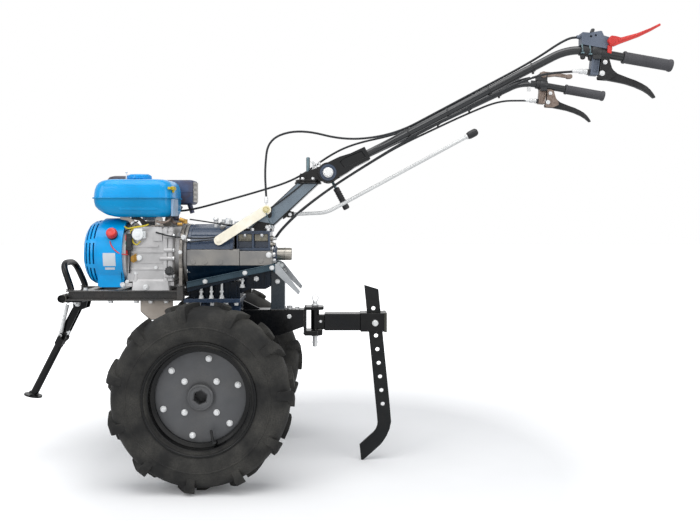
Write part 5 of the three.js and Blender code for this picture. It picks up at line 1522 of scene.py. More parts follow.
@dataclass
class EngineTop:
    """Muffler and air filter behind the tank."""

    middle_y: float = -156.5
    low: tuple[float, float, float] = (96.0, -205.0, 858.0)
    high: tuple[float, float, float] = (230.0, -108.0, 944.0)

    def punch(self, shape: Shape) -> None:
        """Cuts the eight round holes of the muffler's end."""
        for y in (-132, -156):
            for z in (876, 893, 910, 927):
                shape.cut(Shape().rod((self.low[0] - 6, y, z), (self.low[0] + 5, y, z), 5.6, sides=20))

    def muffler(self) -> None:
        """The muffler box with its perforated end, seam and pipe."""
        low, high = self.low, self.high
        rows = (
            (low[2], 8, 6, 42.5, 8), (low[2] + 4, 1.5, 1, 47, 10), (low[2] + 8, 0, 0, 48.5, 11),
            (high[2] - 8, 0, 0, 48.5, 11), (high[2] - 3, 2, 2, 46.5, 10), (high[2], 8, 8, 41, 8),
        )
        shape = Shape().stack([(z, low[0] + a, high[0] - b, half, corner) for z, a, b, half, corner in rows])
        shape.shift(Matrix.Translation((0, self.middle_y, 0)))
        self.punch(shape)
        shape.finish("muffler_guard", EXHAUST, bevel=0.6, replaces=["muffler"])
        grille = Shape().block((low[0] - 1.6, -197, low[2] + 9), (low[0] + 1, -114, high[2] - 7))
        self.punch(grille)
        grille.finish("muffler_grille", BELL, bevel=0.5)
        shape = Shape().block((low[0] + 1, -203, 900), (high[0] - 1, -110, 903))
        shape.block((100, -206, 900.5), (226, -107, 904))
        shape.finish("muffler_seam", EXHAUST, bevel=0.8)
        pipe = even(bent([(168, -150, 800.4), (168, -150, 828), (152, -150, 856)], 16), 6)
        shape = Shape().sweep(pipe, 14, 24).block((140, -172, 800.3), (196, -128, 808))
        shape.rod((116, -150, 860), (106, -150, 828), 9, 8, 20)
        shape.finish("exhaust_pipe", EXHAUST, bevel=0.6)

    def filter(self) -> None:
        """The air filter with its ribbed cover, clip and intake snout."""
        shape = Shape().stack([
            (858, 270, 390, 44, 14), (863, 264, 396, 48, 16), (924, 262, 398, 48.5, 16), (928, 262, 400, 48.5, 20),
            (946, 263, 402, 47.5, 22), (955, 270, 396, 42, 22), (959, 284, 384, 30, 20)], 6)
        shape.shift(Matrix.Translation((0, self.middle_y, 0)))
        shape.finish("filter_case", FILTER, bevel=0.6, smooth=40, replaces=["air_filter"])
        shape = Shape()
        for x in range(272, 388, 14):
            shape.block((x, -109.5, 862), (x + 5, -106.4, 918))
        shape.block((262, -206, 922), (400, -107, 926))
        shape.finish("filter_ribs", FILTER, bevel=1.0)
        Shape().lathe([(0, 0), (12, 0), (12, 7), (9, 9), (0, 9)], (330, -156, 958), Z, 32, closed=False).finish(
            "filter_nut", BRIGHT, bevel=0.5)

    def build(self) -> None:
        """Builds both boxes."""
        self.muffler()
        self.filter()


# --------------------------------------------------------- front frame, stand


@dataclass
class FrontFrame:
    """Rails under the engine, the bumper hoop and the stand's bracket."""

    top: float = 575.0
    height: float = 33.0
    tube: tuple[float, float] = (485.0, 549.0)
    pivot: tuple[float, float] = (456.0, 524.0)

    def rails(self) -> None:
        """The two channel rails, their cross pieces and bolts."""
        low, high = self.top - self.height, self.top
        for side in Side:
            sign = side.value
            loop = [(90, low), (60, low), (60, high), (90, high), (90, high - 4), (64, high - 4), (64, low + 4),
                    (90, low + 4)]
            shape = Shape().plate([(sign * y, z) for y, z in loop], 92.3, 472.2, Plane.FRONT)
            shape.finish(f"rail_{side.word}", FRAME, bevel=0.8, replaces=[f"frame_rail_{side.word}"])
        shape = Shape()
        for x in (104, 190, 300, 396):
            shape.block((x, -60.5, high - 12), (x + 26, 60.5, high - 1))
        for sign in (1, -1):
            shape.block((92.5, sign * 58, low + 2), (112, sign * 92, high + 14))
        shape.finish("rail_cross_pieces", FRAME, bevel=1.0)
        bolts = Shape()
        for sign in (1, -1):
            for x in (150, 200, 246, 330):
                bolts.bolt((x, sign * 77, low), -Z, 13, 7, 9)
            for x, z in ((102, high + 14), (412, high)):
                bolts.bolt((x, sign * 77, z), Z, 12, 6, 8)
        bolts.finish("rail_bolts", BRIGHT, bevel=0.4)

    def hoop(self) -> None:
        """The cross tube with its weld, and the bumper hoop."""
        x, z = self.tube
        shape = Shape().lathe([(9.8, -96), (12.5, -96), (12.5, 96), (9.8, 96)], (x, 0, z), Y, 40)
        shape.finish("cross_tube", GLOSS_BLACK, bevel=0.5, replaces=["front_cross_tube"])
        # A dark rod filling the tube's bore: painted shade seen in its open ends.
        Shape().rod((x, -88, z), (x, 88, z), 10.2, sides=32).finish("cross_tube_bore_shade", BORE_SHADE)
        welds = Shape()
        for sign in (1, -1):
            for y in (61, 89):
                ring = [Vector((x + 13 * cos(a), sign * y, z + 13 * sin(a)))
                        for a in (radians(100 + i * 8) for i in range(22))]
                welds.sweep(ring, [2.2 + 0.5 * sin(i * 1.9) for i in range(22)], 8)
            for i in range(14):
                turn = i * TURN / 14
                welds.ball((465 + 11.4 * cos(turn), sign * 70 + 11.4 * sin(turn), 577), 2.2, (1, 1, 0.7))
        welds.finish("front_welds", WELD)
        corners = [(461, -70, 575.3), (465, -70, 591), (494, -59.5, 662), (494, 59.5, 662), (465, 70, 591),
                   (461, 70, 575.3)]
        shape = Shape().sweep(even(bent(corners, 45, 9), 9), 10.5, 28)
        shape.finish("bumper_hoop", FRAME_GLOSS, smooth=45, replaces=["front_hoop"])

    def bracket(self) -> None:
        """The stand's bracket plate with its ears and pivot bolt."""
        x, z = self.pivot
        shape = Shape().block((420, -88, 536.7), (472, 88, 541.7))
        ear = [(422, 539.7), (430, 510), (448, 504), (458, 503.5), (470, 512), (473, 524), (472, 539.7)]
        for sign in (1, -1):
            shape.plate(ear, sign * 18, sign * 23)
            shape.block((424, sign * 23, 530), (468, sign * 30, 537))
        shape.finish("stand_plate", GLOSS_BLACK, bevel=0.8, replaces=["stand_bracket"])
        bolts = Shape().rod((x, -22, z), (x, 22, z), 5.4, sides=24)
        for sign in (1, -1):
            bolts.bolt((x, sign * 23, z), Y * sign, 14, 7, 8.6)
            for y in (44, 76):
                bolts.bolt((446, sign * y, 536.7), -Z, 12, 5, 8)
        bolts.finish("pivot_bolt", BRIGHT, bevel=0.5)
        hang = Shape().plate([(476, 544), (492, 544), (490, 530), (480, 530)], 27, 33)
        hang.finish("spring_hanger", GLOSS_BLACK, bevel=0.6)

    def guard(self) -> None:
        """The folded guard plate under the left rail."""
        loop = [(237, 541.7), (237, 507), (234, 502.5), (207, 478.5), (203, 477), (130, 477), (130, 541.7)]
        shape = Shape().plate(loop, 62, 65).block((130, 40, 477), (205, 65, 480))
        shape.plate([(205, 477), (237, 505), (235, 507.4), (203, 479.6)], 40, 65)
        shape.finish("guard", BEIGE, bevel=0.7, replaces=["guard_plate"])

    def build(self) -> None:
        """Builds the frame ahead of the wheels."""
        self.rails()
        self.hoop()
        self.bracket()
        self.guard()


@dataclass
class Stand:
    """Leaning front stand with its catch, foot and spring."""

    pivot: tuple[float, float] = (456.0, 524.0)
    lean: float = 27.0
    wire: float = 1.45
    coil: float = 5.1
    turns: int = 34

    def on(self, down: float, across: float, y: float = 0.0) -> Vector:
        """A point of the stand by its distance down and across the leg."""
        turn = radians(self.lean)
        x = self.pivot[0] + down * sin(turn) + across * cos(turn)
        z = self.pivot[1] - down * cos(turn) + across * sin(turn)
        return Vector((x, y, z))

    def flat(self, down: float, across: float) -> tuple[float, float]:
        """The same point in the side plane."""
        at = self.on(down, across)
        return at.x, at.z

    def build(self) -> None:
        """Builds the leg, its catch and foot, and the spring."""
        cheek = [self.flat(d, f) for d, f in (
            [(11.5 * -cos(radians(a)), 11.5 * sin(radians(a))) for a in range(-80, 81, 20)]
            + [(40, 12), (120, 13), (152, 12), (156, 8), (156, -8), (152, -12), (120, -13), (40, -12)])]
        shape = Shape()
        for sign in (1, -1):
            shape.plate(cheek, sign * 12, sign * 17)
        web = [self.flat(d, f) for d, f in ((30, 12), (30, 8), (152, 7), (152, 12))]
        shape.plate(web, -13, 13)
        shape.finish("stand_channel", GLOSS_BLACK, Body.STAND, bevel=0.9)
        foot_at = self.on(343, 0)
        shape = Shape().rod(self.on(122, 0), foot_at, 12.5, sides=36)
        shape.lathe([(12.4, 0), (14.6, 1), (14.2, 4), (12.4, 7)], self.on(152, 0), self.on(1, 0) - self.on(0, 0), 28)
        tilt = Matrix.Rotation(radians(-11), 4, "Y")
        foot = Shape().rod((0, 0, -3), (0, 0, 3), 30, 30, 48)
        foot.shift(Matrix.Diagonal((1, 0.8, 1, 1)))
        shape.add(foot, Matrix.Translation(self.on(345.5, 0)) @ tilt)
        shape.lathe([(12, -5), (16.5, -3.5), (18, 1), (12, 1)], self.on(340, 0), self.on(1, 0) - self.on(0, 0), 28)
        shape.finish("stand_tube", GLOSS_BLACK, Body.STAND, bevel=0.9, smooth=40, replaces=["stand_leg"])
        hook = Shape().rod(self.on(125, 0, 12), self.on(125, 0, 38), 4, sides=20)
        hook.lathe([(3, 0), (7, 0), (7, 2.4), (3, 2.4)], self.on(125, 0, 35.5), Y, 24)
        hook.rod(self.on(125, 0, 17), self.on(125, 0, 22), 9, 8, 6)
        path = bent([self.on(128, 2, 25), self.on(131, -14, 25), self.on(118, -24, 25), self.on(106, -22, 25)], 7)
        hook.sweep(even(path, 3), 3.4, 12)
        hook.finish("stand_catch", GLOSS_BLACK, Body.STAND, bevel=0.5)
        pin = Shape().rod(self.on(96, -17, 20), self.on(106, -16, 20), 3.4, sides=16).ball(self.on(95, -17, 20), 4.2)
        pin.rod(self.on(100, -9, 17), self.on(100, -20, 21), 3, sides=14)
        pin.finish("catch_pin", WHITE_PLASTIC, Body.STAND, bevel=0.3)
        self.spring()

    def spring(self) -> None:
        """The return spring with its hooked ends."""
        start, end = Vector((485, 30, 532.5)), Vector((511.7, 30, 421.0))
        way = (end - start).normalized()
        across = way.cross(Y).normalized()
        low, high = start + way * 10, end - way * 9
        per = 12
        count = self.turns * per
        coil = []
        for i in range(count + 1):
            a = TURN * i / per
            coil.append(low.lerp(high, i / count) + (across * cos(a) + Y * sin(a)) * self.coil)
        path = [start, start + way * 3, *coil, end - way * 3, end]
        shape = Shape().sweep(path, self.wire, 7)
        for eye in (start - way, end + way):
            ring = [eye + (way * cos(a) + across * sin(a)) * 4.4 for a in (radians(i * 20) for i in range(19))]
            shape.sweep(ring, self.wire, 7)
        made = shape.finish("return_spring", BRIGHT, None, smooth=60, replaces=["stand_spring"])
        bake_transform(made)


# ------------------------------------------------- mast, head and handlebars


@dataclass
class Mast:
    """Sloping mast on the gearbox, with the swivel head and its lock pin."""

    half: float = 32.0
    yaw_x: float = -309.5
    tilt: tuple[float, float] = (-377.0, 961.0)

    def post(self) -> None:
        """The mast's box section, base plate, yaw plate and gussets, with black strips along its edges as painted
        shade.
        """
        loop = [(-184, 774), (-346.5, 925), (-272.5, 925), (-110, 774)]
        shape = Shape().plate(loop, -self.half, self.half)
        shape.finish("mast_sides", MAST, bevel=2.4, replaces=["mast"])
        shape = Shape()
        # Thin black strips on the side faces along the front and back edges: painted shade for the mast's shaded front
        # and rear faces.
        front = [(-110, 774), (-272.5, 925), (-276, 925), (-113.5, 774)]
        back = [(-184, 774), (-346.5, 925), (-341, 925), (-178.5, 774)]
        for sign in (1, -1):
            near, far = sign * (self.half - 3), sign * (self.half + 0.7)
            shape.plate(front, near, far).plate(back, near, far)
        shape.plate([(-192, 768.4), (-192, 776), (-95, 776), (-95, 768.4)], -50, 50)
        for sign in (1, -1):
            shape.plate([(-176, 776), (-120, 776), (-144, 800), (-196, 790)], sign * 31, sign * 36)
        shape.lathe([(0, 923.8), (44, 923.8), (45, 925), (45, 929), (44, 930.1), (0, 930.1)], (self.yaw_x, 0, 0), Z,
                    56, closed=False)
        shape.rod((self.yaw_x, 0, 930), (self.yaw_x, 0, 955), 12, sides=32)
        shape.block((-306, -26, 940), (-283, 26, 958)).block((-300, -34, 926), (-276, 34, 934))
        shape.finish("mast_plates_and_edge_shade", GLOSS_BLACK, bevel=1.0)
        rear = Shape().block((-262, -8, 812), (-240, 8, 832)).rod((-250, -13, 822), (-250, 13, 822), 7, sides=20)
        for near, far in ((-15, -12), (12, 15)):
            rear.plate([(-226, 806), (-226, 820), (-250, 834), (-262, 830)], near, far)
        rear.finish("rod_bracket", GLOSS_BLACK, bevel=0.8)
        bolts = Shape()
        for x in (-186, -102):
            for sign in (1, -1):
                bolts.bolt((x, sign * 42, 776), Z, 15, 9, 10)
        bolts.bolt((-250, 15, 822), Y, 12, 6).bolt((-250, -15, 822), -Y, 12, 6)
        bolts.finish("mast_bolts", BRIGHT, bevel=0.4)

    def lock(self) -> None:
        """The spring pin that locks the yaw, with its small clips."""
        shape = Shape().rod((self.yaw_x, 0, 955), (self.yaw_x, 0, 1012), 6.4, sides=28)
        shape.rod((self.yaw_x, 0, 955), (self.yaw_x, 0, 962), 11, 11, 6)
        shape.rod((self.yaw_x, 0, 1012), (self.yaw_x, 0, 1014), 5.6, 4.6, 28)
        shape.finish("lock_pin", ZINC, bevel=0.5)
        bits = Shape()
        for x, low, high, radius in ((-326, 958, 1001, 3.4), (-338, 960, 996, 2.6), (-349, 968, 999, 2.2)):
            bits.rod((x, -6, low), (x, -6, high), radius, sides=14)
        bits.rod((-318, -6, 1000), (-352, -6, 992), 2.0, sides=10).rod((-326, -6, 985), (-346, -6, 982), 1.8, sides=10)
        bits.bolt((-326, -6, 963), Z, 13, 6).bolt((-338, -6, 966), Z, 11, 5)
        bits.finish("lock_clips", BRIGHT, Body.HEAD, bevel=0.3)

    def head(self) -> None:
        """The swivel head: a disc and a tongue round the tilt pin."""
        x, z = self.tilt
        disc = Shape().lathe([(0, 930.4), (41, 930.4), (42, 931.4), (42, 937.4), (41, 938.2), (0, 938.2)],
                             (self.yaw_x, 0, 0), Z, 56, closed=False)
        loop = [(-281, 934.3), (-281, 952), (-283, 954.3), (-305.5, 964.3), (-377, 993),
                *arc((x, z), 32.5, 95, 245, 16)[1:], (-335.5, 934.3)]
        disc.plate(loop, -23.7, 23.7)
        disc.cut(Shape().rod((x, -40, z), (x, 40, z), 10.5, sides=32))
        disc.finish("head_casting", GLOSS_BLACK, Body.HEAD, bevel=1.0, replaces=["swivel_head"])
        bolts = Shape()
        for angle in (60, 120, 240, 300):
            turn = radians(angle)
            bolts.bolt((self.yaw_x + 34 * cos(turn), 34 * sin(turn), 938.2), Z, 10, 5, 7)
        bolts.finish("head_bolts", BRIGHT, Body.HEAD, bevel=0.3)

    def build(self) -> None:
        """Builds the mast and the head."""
        self.post()
        self.lock()
        self.head()


@dataclass
class Handlebar:
    """Fork on the tilt pin, both tubes, the grips and all hand controls."""

    tilt: tuple[float, float] = (-377.0, 961.0)
    slope: float = 64 / 131
    length: float = 146.0
    tube: float = 12.5
    start_y: float = 16.0
    spread: float = 275.0
    bend: tuple[float, float] = (-1100.0, 1318.0)
    grip: tuple[float, float] = (-1258.0, 1290.0)
    grip_length: float = 147.0
    lever: tuple[float, float] = (-1192.0, 1240.2)

    def on(self, out: float, above: float = 0.0) -> tuple[float, float]:
        """A point on the fork: out along it from the pin, and above it."""
        run = hypot(1, self.slope)
        along = (-1 / run, self.slope / run)
        return self.tilt[0] + out * along[0] + above * along[1], self.tilt[1] + out * along[1] - above * along[0]

    def height(self, x: float) -> float:
        """Height of the tube's middle line behind its bend."""
        return self.grip[1] + (x - self.grip[0]) * (self.bend[1] - self.grip[1]) / (self.bend[0] - self.grip[0])

    def top(self, x: float) -> float:
        """Height of the tube's top behind its bend."""
        return self.height(x) + self.tube * 1.0156 + 0.3

    def back(self) -> Vector:
        """Direction of the grips, pointing back."""
        return Vector((self.grip[0] - self.bend[0], 0, self.grip[1] - self.bend[1])).normalized()

    def beside(self, sign: int, x: float, lift: float) -> Vector:
        """A point beside the straight stretch of a tube, raised by lift."""
        start = self.on(self.length + 40)
        part = (x - start[0]) / (self.bend[0] - start[0])
        y = self.start_y + part * (self.spread - self.start_y)
        return Vector((x, sign * y, start[1] + part * (self.bend[1] - start[1]) + lift))

    def fork(self) -> None:
        """The forked socket, its pivot rings, pin and bolt heads."""
        x, z = self.tilt
        tilt = degrees(atan2(self.slope, -1))
        loop = [self.on(self.length, 24), self.on(94, 25), self.on(56, 31),
                *arc((x, z), 34, tilt - 66, tilt - 294, 22),
                self.on(60, -27), self.on(90, -22), self.on(self.length, -21)]
        shape = Shape().plate(loop, -36, 36)
        shape.cut(Shape().plate(arc((x, z), 42, 0, 345, 23), -24, 24))
        for sign in (1, -1):
            pocket = [self.on(50, 14), self.on(70, 19), self.on(130, 15), self.on(134, -8), self.on(80, -12),
                      self.on(56, -8)]
            shape.cut(Shape().plate(pocket, sign * 32.5, sign * 40))
        shape.finish("fork_casting", FRAME_GLOSS, Body.HANDLEBAR, bevel=1.6, smooth=34, replaces=["handlebar_socket"])
        rings = Shape()
        for sign in (1, -1):
            rings.lathe([(15, 35.5), (27, 35.5), (27.6, 36.5), (27, 38.4), (24.6, 39), (22, 39), (20, 38), (15, 38)],
                        (x, 0, z), Y * sign, 48)
        rings.finish("pivot_rings", GEARBOX, Body.HANDLEBAR, bevel=0.4)
        pin = Shape().rod((x, -46, z), (x, 40, z), 10, sides=32)
        pin.bolt((x, 38.2, z), Y, 27, 9, 17, spin=0.1)
        ends = [self.on(self.length - 18, 0), self.on(self.length - 60, 0)]
        for end_x, end_z in ends:
            pin.bolt((end_x, -36, end_z), -Y, 13, 7, 9)
        pin.finish("tilt_pin", BRIGHT, Body.HANDLEBAR, bevel=0.6)

    def tilt_lock(self) -> None:
        """The lever that locks the handlebar's height."""
        x, z = self.tilt
        shape = Shape().lathe([(10.6, 36.4), (19, 36.4), (20, 38), (20, 47), (18.6, 48.2), (10.6, 48.2)], (x, 0, z),
                              -Y, 40)
        shape.rod((x - 8.5, -42, z - 16), (x - 26, -45, z - 49), 5, sides=20)
        shape.rod((x, -47, z), (x, -53, z), 9, 9, 6)
        shape.finish("lock_arm", ZINC, Body.HANDLEBAR, bevel=0.5, replaces=["tilt_lock_lever"])
        start, end = Vector((x - 26, -48.3, z - 48)), Vector((x - 64, -48.3, z - 120))
        way = (end - start).normalized()
        grip = Shape().lathe([(0, 0), (9, 0), (11, 3), (10, 20), (10.4, 60), (11.6, 76), (10.4, 80.5), (6, 82),
                              (0, 82)],
                             start, way, 32, closed=False)
        for along in range(16, 57, 8):
            grip.lathe([(9, along), (11.3, along + 1), (11.3, along + 4), (9, along + 5)], start, way, 32)
        grip.finish("lock_grip", GRIP_BLACK, Body.HANDLEBAR, bevel=0.5)

    def tubes(self) -> None:
        """Both tubes with cable ties, and the grips."""
        back = self.back()
        for side in Side:
            sign = side.value
            x, z = self.on(self.length - 20)
            x2, z2 = self.on(self.length + 40)
            end = Vector((self.grip[0], sign * self.spread, self.grip[1])) + back * (self.grip_length - 6)
            corners = [(x, sign * self.start_y, z), (x2, sign * self.start_y, z2),
                       (self.bend[0], sign * self.spread, self.bend[1]), end]
            Shape().sweep(even(bent(corners, 56, 10), 40), self.tube, 32).finish(
                f"bar_{side.word}", BAR_PAINT, Body.HANDLEBAR, smooth=50, replaces=[f"handlebar_{side.word}"])
            start = Vector((self.grip[0], sign * self.spread, self.grip[1]))
            long = self.grip_length
            loop = [(12.9, 0), (17.6, 0), (18.6, 1.2), (18.6, 6), (17.2, 7.5), (16.6, 9)]
            for at in range(12, 125, 8):
                loop += [(16.7, at), (16.95, at + 1), (16.95, at + 6), (16.7, at + 7)]
            loop += [(16.6, long - 13), (17.4, long - 10), (18.6, long - 8), (18.8, long - 3), (17.6, long - 0.6),
                     (13, long), (0, long), (0, long - 5), (12.9, long - 5)]
            shape = Shape().lathe(loop, start, back, 44, closed=True)
            shape.finish(f"hand_grip_{side.word}", GRIP, Body.HANDLEBAR, smooth=50, replaces=[f"grip_{side.word}"])
            ties = Shape()
            for along in (-640, -760, -880, -1000):
                low, high = self.beside(sign, along, 0), self.beside(sign, along - 6, 0)
                way = (high - low).normalized()
                ties.lathe([(12.6, 0), (14.2, 0), (14.2, 4.6), (12.6, 4.6)], low, way, 28)
                ties.block(low + Vector((-5, -4, -19)), low + Vector((1, 4, -13)))
            ties.finish(f"bar_ties_{side.word}", PLASTIC, Body.HANDLEBAR, bevel=0.4)

    def hand_levers(self) -> None:
        """Lever brackets, their clamps, the levers, pins and adjusters."""
        x, z = self.lever
        looks = {Side.LEFT: GREY, Side.RIGHT: RUSTY}
        for side, bracket_look in looks.items():
            y = side.value * self.spread
            top = self.height(x + 22)
            shape = Shape().plate([(x + 28, top - 4), (x + 5, top - 6), (x + 12, z - 6), (x + 35, z - 4)], y - 12,
                                  y + 12)
            shape.cut(Shape().plate([(x + 22, top - 22), (x + 9, top - 24), (x + 15, z + 2), (x + 28, z + 4)], y + 7,
                                    y + 20))
            shape.finish(f"lever_plate_{side.word}", bracket_look, Body.HANDLEBAR, bevel=1.2,
                         replaces=[f"lever_bracket_{side.word}"])
            clamp = Shape().lathe([(12.7, -14), (18.5, -14), (19, -13), (19, 13), (18.5, 14), (12.7, 14)],
                                  (x + 16.5, y, self.height(x + 16.5)), self.back(), 36)
            clamp.block((x + 4, y - 17, top - 24), (x + 29, y + 17, top - 11))
            clamp.finish(f"lever_clamp_{side.word}", PLASTIC, Body.HANDLEBAR, bevel=1.2)
            points = [
                (-1, 47), (-19, 45), (-24, 28), (-32, 13), (-48, 0), (-81, -13), (-101, -20), (-120, -29),
                (-135, -38), (-146, -48),
                (-155, -60), (-161, -70), (-159, -73), (-155, -72), (-141, -60), (-125, -50), (-100, -39), (-72, -30),
                (-48, -25), (-24, -20.5), (8, -13), (10, -8), (2, 0),
            ]
            blade = Shape().plate([(x + a, z + b) for a, b in points], y - 8, y + 8)
            blade.finish(f"lever_blade_{side.word}", LEVER, Body.HANDLEBAR, bevel=2.2,
                         replaces=[f"hand_lever_{side.word}"])
            cheek = [(8, -17), (10, -10), (4, 2), (2, 49), (-12, 48), (-22, 44), (-30, 16), (-40, 2), (-40, -10),
                     (-20, -19)]
            plate = Shape()
            for off in (-10.4, 8.2):
                plate.plate([(x + a, z + b) for a, b in cheek], y + off, y + off + 2.2)
            plate.finish(f"lever_cheeks_{side.word}", LEVER if side is Side.LEFT else RUSTY, Body.HANDLEBAR, bevel=0.7)
            pins = Shape()
            for px, pz, r in ((x, z, 8.4), (x - 9, z + 33, 7.2)):
                pins.rod((px, y - 12.5, pz), (px, y + 13, pz), 4.5, sides=20)
                for way in (1, -1):
                    pins.rod((px, y + way * 10.4, pz), (px, y + way * 13.2, pz), r, r - 0.8, 28)
                    pins.rod((px, y + way * 13, pz), (px, y + way * 14.6, pz), r * 0.5, r * 0.4, 20)
            pins.finish(f"lever_pins_{side.word}", BRIGHT, Body.HANDLEBAR, bevel=0.4)
            start, end = Vector((x + 34.5, y, z + 6)), Vector((x + 86, y, z + 9))
            way = (end - start).normalized()
            screw = Shape().lathe([(0, 0), (5, 0), (5, 8), (9, 8), (9, 13), (6.2, 13), (6.2, 19), (7.6, 20),
                                   (7.6, 30), (5.4, 31), (5.4, 46),
                                   (4, 51.5), (0, 51.5)], start, way, 28, closed=False)
            screw.finish(f"cable_adjuster_{side.word}", BRIGHT, Body.HANDLEBAR, bevel=0.4)
            nose = Shape().block((x + 30, y - 7, z - 2), (x + 42, y + 7, z + 13))
            nose.finish(f"adjuster_seat_{side.word}", PLASTIC, Body.HANDLEBAR, bevel=1.0)

    def left_controls(self) -> None:
        """The clutch lever's housing, clamps, screws and red lever."""
        y = self.spread
        top = self.top
        loop = [(-1130, top(-1130)), (-1130, 1359), (-1133, 1362), (-1158, 1360), (-1164, 1362), (-1188, 1366),
                (-1191, 1364), (-1196, 1352), (-1216, 1346), (-1221, 1341), (-1221, top(-1221))]
        shape = Shape().plate(loop, y - 15, y + 15)
        for hole_x, hole_z, wide in ((-1158, 1349, 3.4), (-1172, 1352, 3.0)):
            shape.cut(Shape().rod((hole_x, y - 20, hole_z), (hole_x, y + 20, hole_z), wide, sides=20))
        shape.rod((-1130.4, y, 1350), (-1119, y, 1350.4), 6.5, 5.2, 24)
        shape.finish("housing_body", GREY, Body.HANDLEBAR, bevel=1.3, replaces=["control_housing"])
        clamps = Shape().lathe([(12.8, -22), (16.4, -22), (16.4, 68), (12.8, 68)], (-1150, y, self.height(-1150)),
                               self.back(), 32)
        for at in (-1132, -1155):
            z = self.height(at)
            clamps.rod((at - 6, y, z - 11), (at - 6, y, z - 24), 9, 7.5, 24)
            clamps.ball((at - 6, y, z - 24), 7.5, (1, 1, 0.7))
            clamps.block((at - 14, y - 13, z - 15), (at + 3, y + 13, z - 9))
        clamps.rod((-1164, y + 3, 1362), (-1167, y + 3, 1372), 6.5, 5.5, 24)
        clamps.ball((-1167, y + 3, 1372), 5.5, (1, 1, 0.6))
        clamps.finish("housing_clamps", PLASTIC, Body.HANDLEBAR, bevel=0.8)
        screws = Shape()
        for at in (-1132, -1155):
            z = self.height(at)
            screws.rod((at + 1, y + 14, z + 14), (at - 1, y + 14, z - 8), 2.6, sides=18)
            screws.bolt((at - 1, y + 14, z - 10), Z * -1, 10, 5)
        screws.finish("housing_screws", ZINC, Body.HANDLEBAR, bevel=0.3)
        low, high = y + 15.3, y + 23.3
        lever = Shape().plate([(-1207, 1330), (-1209, 1344), (-1216, 1350), (-1230, 1348), (-1244, 1344),
                               (-1292, 1357), (-1330, 1372), (-1358, 1385.6),
                               (-1361, 1383.6), (-1360.6, 1379), (-1332, 1363), (-1296, 1345.6), (-1240, 1325),
                               (-1224, 1318), (-1212, 1320)], low, high)
        lever.rod((-1216, low + 1, 1334), (-1216, high + 2, 1334), 11, 10, 36)
        lever.plate([(-1206, 1322), (-1220, 1320), (-1217, 1297), (-1205, 1300)], low, low + 4)
        lever.plate([(-1236, 1338), (-1288, 1352.6), (-1350, 1380), (-1295, 1350), (-1236, 1331)], high - 0.5,
                    high + 1.6)
        lever.finish("red_lever", RED, Body.HANDLEBAR, bevel=1.3, replaces=["clutch_lever"])

    def right_controls(self) -> None:
        """The throttle lever on its clamp."""
        y = -self.spread
        top = self.top
        shape = Shape().plate([(-1150, top(-1150)), (-1150, 1340), (-1170, 1352), (-1192, 1351), (-1190, top(-1190))],
                              y - 10, y + 10)
        shape.lathe([(12.8, -6), (16.2, -6), (16.2, 34), (12.8, 34)], (-1156, y, self.height(-1156)), self.back(), 32)
        shape.finish("throttle_base", PLASTIC, Body.HANDLEBAR, bevel=1.2, replaces=["throttle_lever"])
        lever = Shape().plate([(-1160, 1341), (-1166, 1353), (-1180, 1355.5), (-1215, 1352.5), (-1260, 1345),
                               (-1281, 1341), (-1284, 1337),
                               (-1283, 1331), (-1278, 1330), (-1220, 1338), (-1190, 1334)], y - 5, y + 5)
        lever.rod((-1176, y - 9, 1343), (-1176, y + 13, 1343), 12, sides=28)
        lever.plate(rounded((-1284, 1329), (-1262, 1345), 6), y - 8, y + 8)
        lever.finish("throttle_blade", RUSTY, Body.HANDLEBAR, bevel=1.2)
        band = Shape().lathe([(12.6, 0), (14.4, 0), (14.4, 9), (12.6, 9)], (-1118, y, self.height(-1118)),
                             self.back(), 32)
        band.block((-1130, y - 5, self.height(-1124) - 30), (-1118, y + 5, self.height(-1124) - 12))
        band.rod((-1144, y, 1334), (-1126, y, 1334), 5, 4, 20)
        band.finish("bar_band", BRIGHT, Body.HANDLEBAR, bevel=0.6)

    def build(self) -> None:
        """Builds the fork, the tubes and the controls."""
        self.fork()
        self.tilt_lock()
        self.tubes()
        self.hand_levers()
        self.left_controls()
        self.right_controls()


# --------------------------------------------------------- linkage and cables


